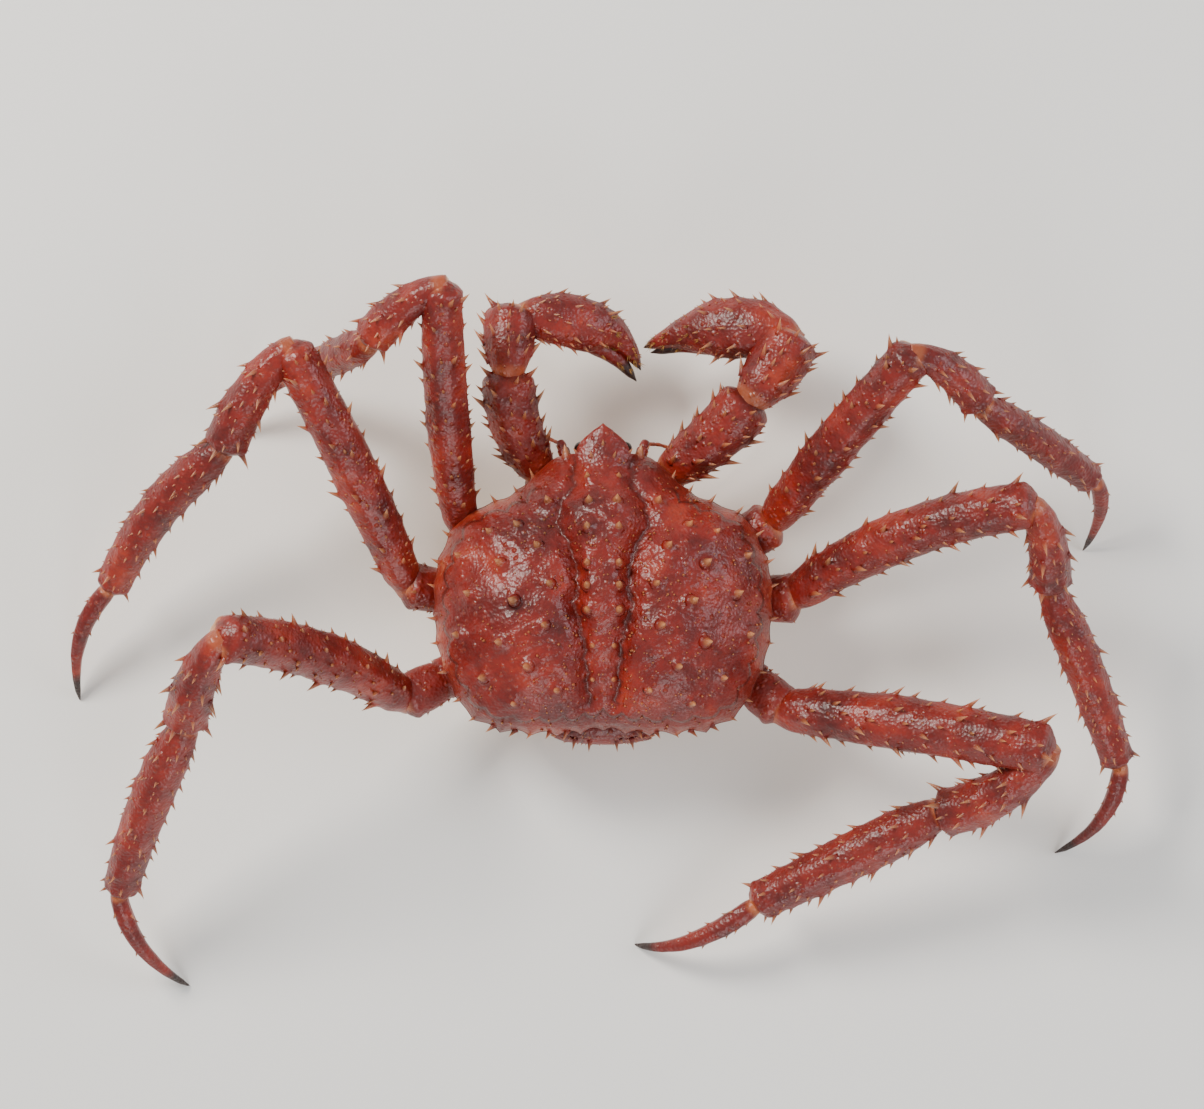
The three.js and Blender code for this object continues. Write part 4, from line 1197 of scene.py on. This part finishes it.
# %% Breastplate
BREASTPLATE_ROWS = [
    (0.02, 1), (0.4, 1), (0.74, 1), (0.765, 0.85), (0.76, 0.7), (0.73, 0.5), (0.68, 0.35), (0.6, 0.2),
    (0.5, 0.08), (0.42, 0.04), (0.34, 0.01), (0.25, 0), (0.12, 0), (0.02, 0),
]
RINGS_BELOW = 60
SPOKES_BELOW = 300
BULGE_BACK = 8.5
BULGE_DOWN = 2.5

fine = np.linspace(0, len(BREASTPLATE_ROWS) - 1, RINGS_BELOW)
share, rise = (np.interp(fine, range(len(BREASTPLATE_ROWS)), column)[:, None]
               for column in zip(*BREASTPLATE_ROWS))
turn = 2 * np.pi * np.arange(SPOKES_BELOW) / SPOKES_BELOW
reach = outline_radius(np.sin(turn), np.cos(turn))
bx, by = share * reach * np.sin(turn) * 0.98, share * reach * np.cos(turn) - 2
under = (1 - rise) * ramp_to(share, 0.12, 0.3)
spokes = np.abs(np.sin(5.5 * np.abs(turn_from(turn)) + 0.55))
seams = bell(spokes, 0, 0.14) * under
ring_seam = bell(share, 0.46, 0.012) * ramp_to(1 - rise, 0.8, 1)
bz = THORAX_BELLY_Z + (THORAX_TOP_Z - THORAX_BELLY_Z) * rise
bz = bz + 2.2 * seams + 0.8 * ring_seam - 0.8 * spokes * under
bz = bz + 0.4 * lumps(np.stack([bx, by, 0 * bx], -1), 11) * under
bulge = np.exp(-(bx / 31) ** 4) * ramp_to(-by, 34, 58) * (1 - ramp_to(bz, 47, 56))
plate = np.stack([bx, by - BULGE_BACK * bulge, bz - BULGE_DOWN * bulge], -1)
# Painted shade: at the seams between plates the cream gives way and darker red is laid in.
seam_shade = np.maximum(seams, ring_seam)
piece("breastplate", [grid_patch(plate, belly=1.0 - 0.6 * seam_shade, groove=0.4 * seam_shade)], pale_shell, "thorax")
print("breastplate", round(np.ptp(plate[..., 0])), "mm wide")

# %% Abdomen
patches = limb_shell(abdomen, 0, steps=170, plates=11, columns=(62, 118), relief=0.8, pale=0.9, lap=1.8)
patches += granules(abdomen, 8, 0.034, -2, (12, 156), lambda *_: True)
for sx, sy, sz in ABDOMEN_SPINES:
    for side, turn in ((1, math.pi), (-1, 0.0)):
        patches.append(thorn((sx * side, sy, sz), (sx * side * 0.01, -0.9, 0.25), 6, 2.3, steps=10))
        for share in np.linspace(0.2, 0.9, 9):
            root, outward, along = spot(abdomen, share + sx * 0.004, turn)
            patches.append(thorn(root, along * 0.6 + outward, 2.6, 1.5, 0.4, steps=8))
dress("abdomen", patches)
print("abdomen patches:", len(patches))

# %% [markdown]
# ## Face
# Under the beak sit the eyes on short stalks. Beside them stand the feelers, a jointed base with a ringed
# whip each, and between them the two small feelers that smell, each forked. Below hang the outer jaws with
# their fringe of bristles. They are limbs too, so the same tube makes them, with more plates on each.

# %% Eyes
EYE_RINGS = 30
EYE_STEPS = 40

for side, sign, parts in faces:
    middle = np.multiply(EYE_CENTRE, (sign, 1, 1))
    forward = unit(np.array([sign * 0.35, 0.9, 0.12]))
    across = unit(np.cross(UP, forward))
    top_way = np.cross(forward, across)
    t = np.linspace(0.04, np.pi - 0.1, EYE_RINGS)
    egg = EYE_RADIUS * (0.985 - 0.05 * np.cos(2 * t))
    spin = 2 * np.pi * np.arange(EYE_STEPS) / EYE_STEPS
    ring = np.cos(spin)[:, None] * across * 0.96 + np.sin(spin)[:, None] * top_way
    ball = middle - (egg * np.cos(t))[:, None, None] * forward + (egg * np.sin(t))[:, None, None] * ring[None]
    piece(f"cornea_{side}", [grid_patch(ball)], cornea, f"{side}_eye")
    stalk = limb_shell(parts["eyestalk"], 0, steps=24, relief=0.3, pale=0.3)
    piece(f"stalk_{side}", stalk, shell, f"{side}_eyestalk")
print("two eyes set")

# %% Feelers and jaws
TUFTS_ON_JAW = 22

for side, sign, parts in faces:
    base = limb_shell(parts["antenna"], 0, steps=28, plates=3, relief=0.3)
    for share, tall in ((0.35, 4.5), (0.65, 3.2)):
        centre = sections(parts["antenna"], share)[0][0]
        base.append(thorn(centre + [sign * 2.6, 0, 0.6], (sign * 0.6, 0.9, 0.2), tall, 1.3))
    piece(f"feeler_base_{side}", base, shell, f"{side}_antenna")
    whip = limb_shell(parts["flagellum"], 0, steps=10, plates=56, relief=0.1)
    piece(f"whip_{side}", whip, feeler, f"{side}_flagellum")

    small = limb_shell(parts["antennule"], 0, steps=14, plates=5, relief=0.1)
    end = np.multiply(FACE["antennule"][-1], (sign, 1, 1)) - [0, 2.4, 1.6]
    for lift in (0.6, 1.4):
        small.append(thorn(end, (sign * 0.25, 1, lift), 4.2, 0.6, steps=6, rings=6))
    piece(f"small_feeler_{side}", small, feeler, f"{side}_antennule")

    jaw = parts["maxilliped"]
    plated = limb_shell(jaw, 0, steps=32, plates=5, point=2.5, relief=0.4, pale=0.85)
    piece(f"outer_jaw_{side}", plated, shell, f"{side}_maxilliped")
    inner = math.pi if sign > 0 else 0.0
    for k in range(TUFTS_ON_JAW):
        tuft(jaw, 0.35 + 0.63 * k / TUFTS_ON_JAW, inner, 77 * k + sign, count=5)
        tuft(jaw, 0.45 + 0.53 * k / TUFTS_ON_JAW, math.pi / 2, 71 * k + sign, count=3, length=2.6)
print("feelers and jaws dressed")

# %% Bristles
hairs = piece("bristles", tufts, bristle, None)
print(len(tufts), "bristles in one piece")

# %% [markdown]
# ## Measure and finish
# The dressed crab may not be larger than its solids, so every point is held inside their box. The pieces and
# their faces are counted.

# %% Sizes
print("pieces:", len(made), "faces:", sum(len(obj.data.polygons) for obj in made))
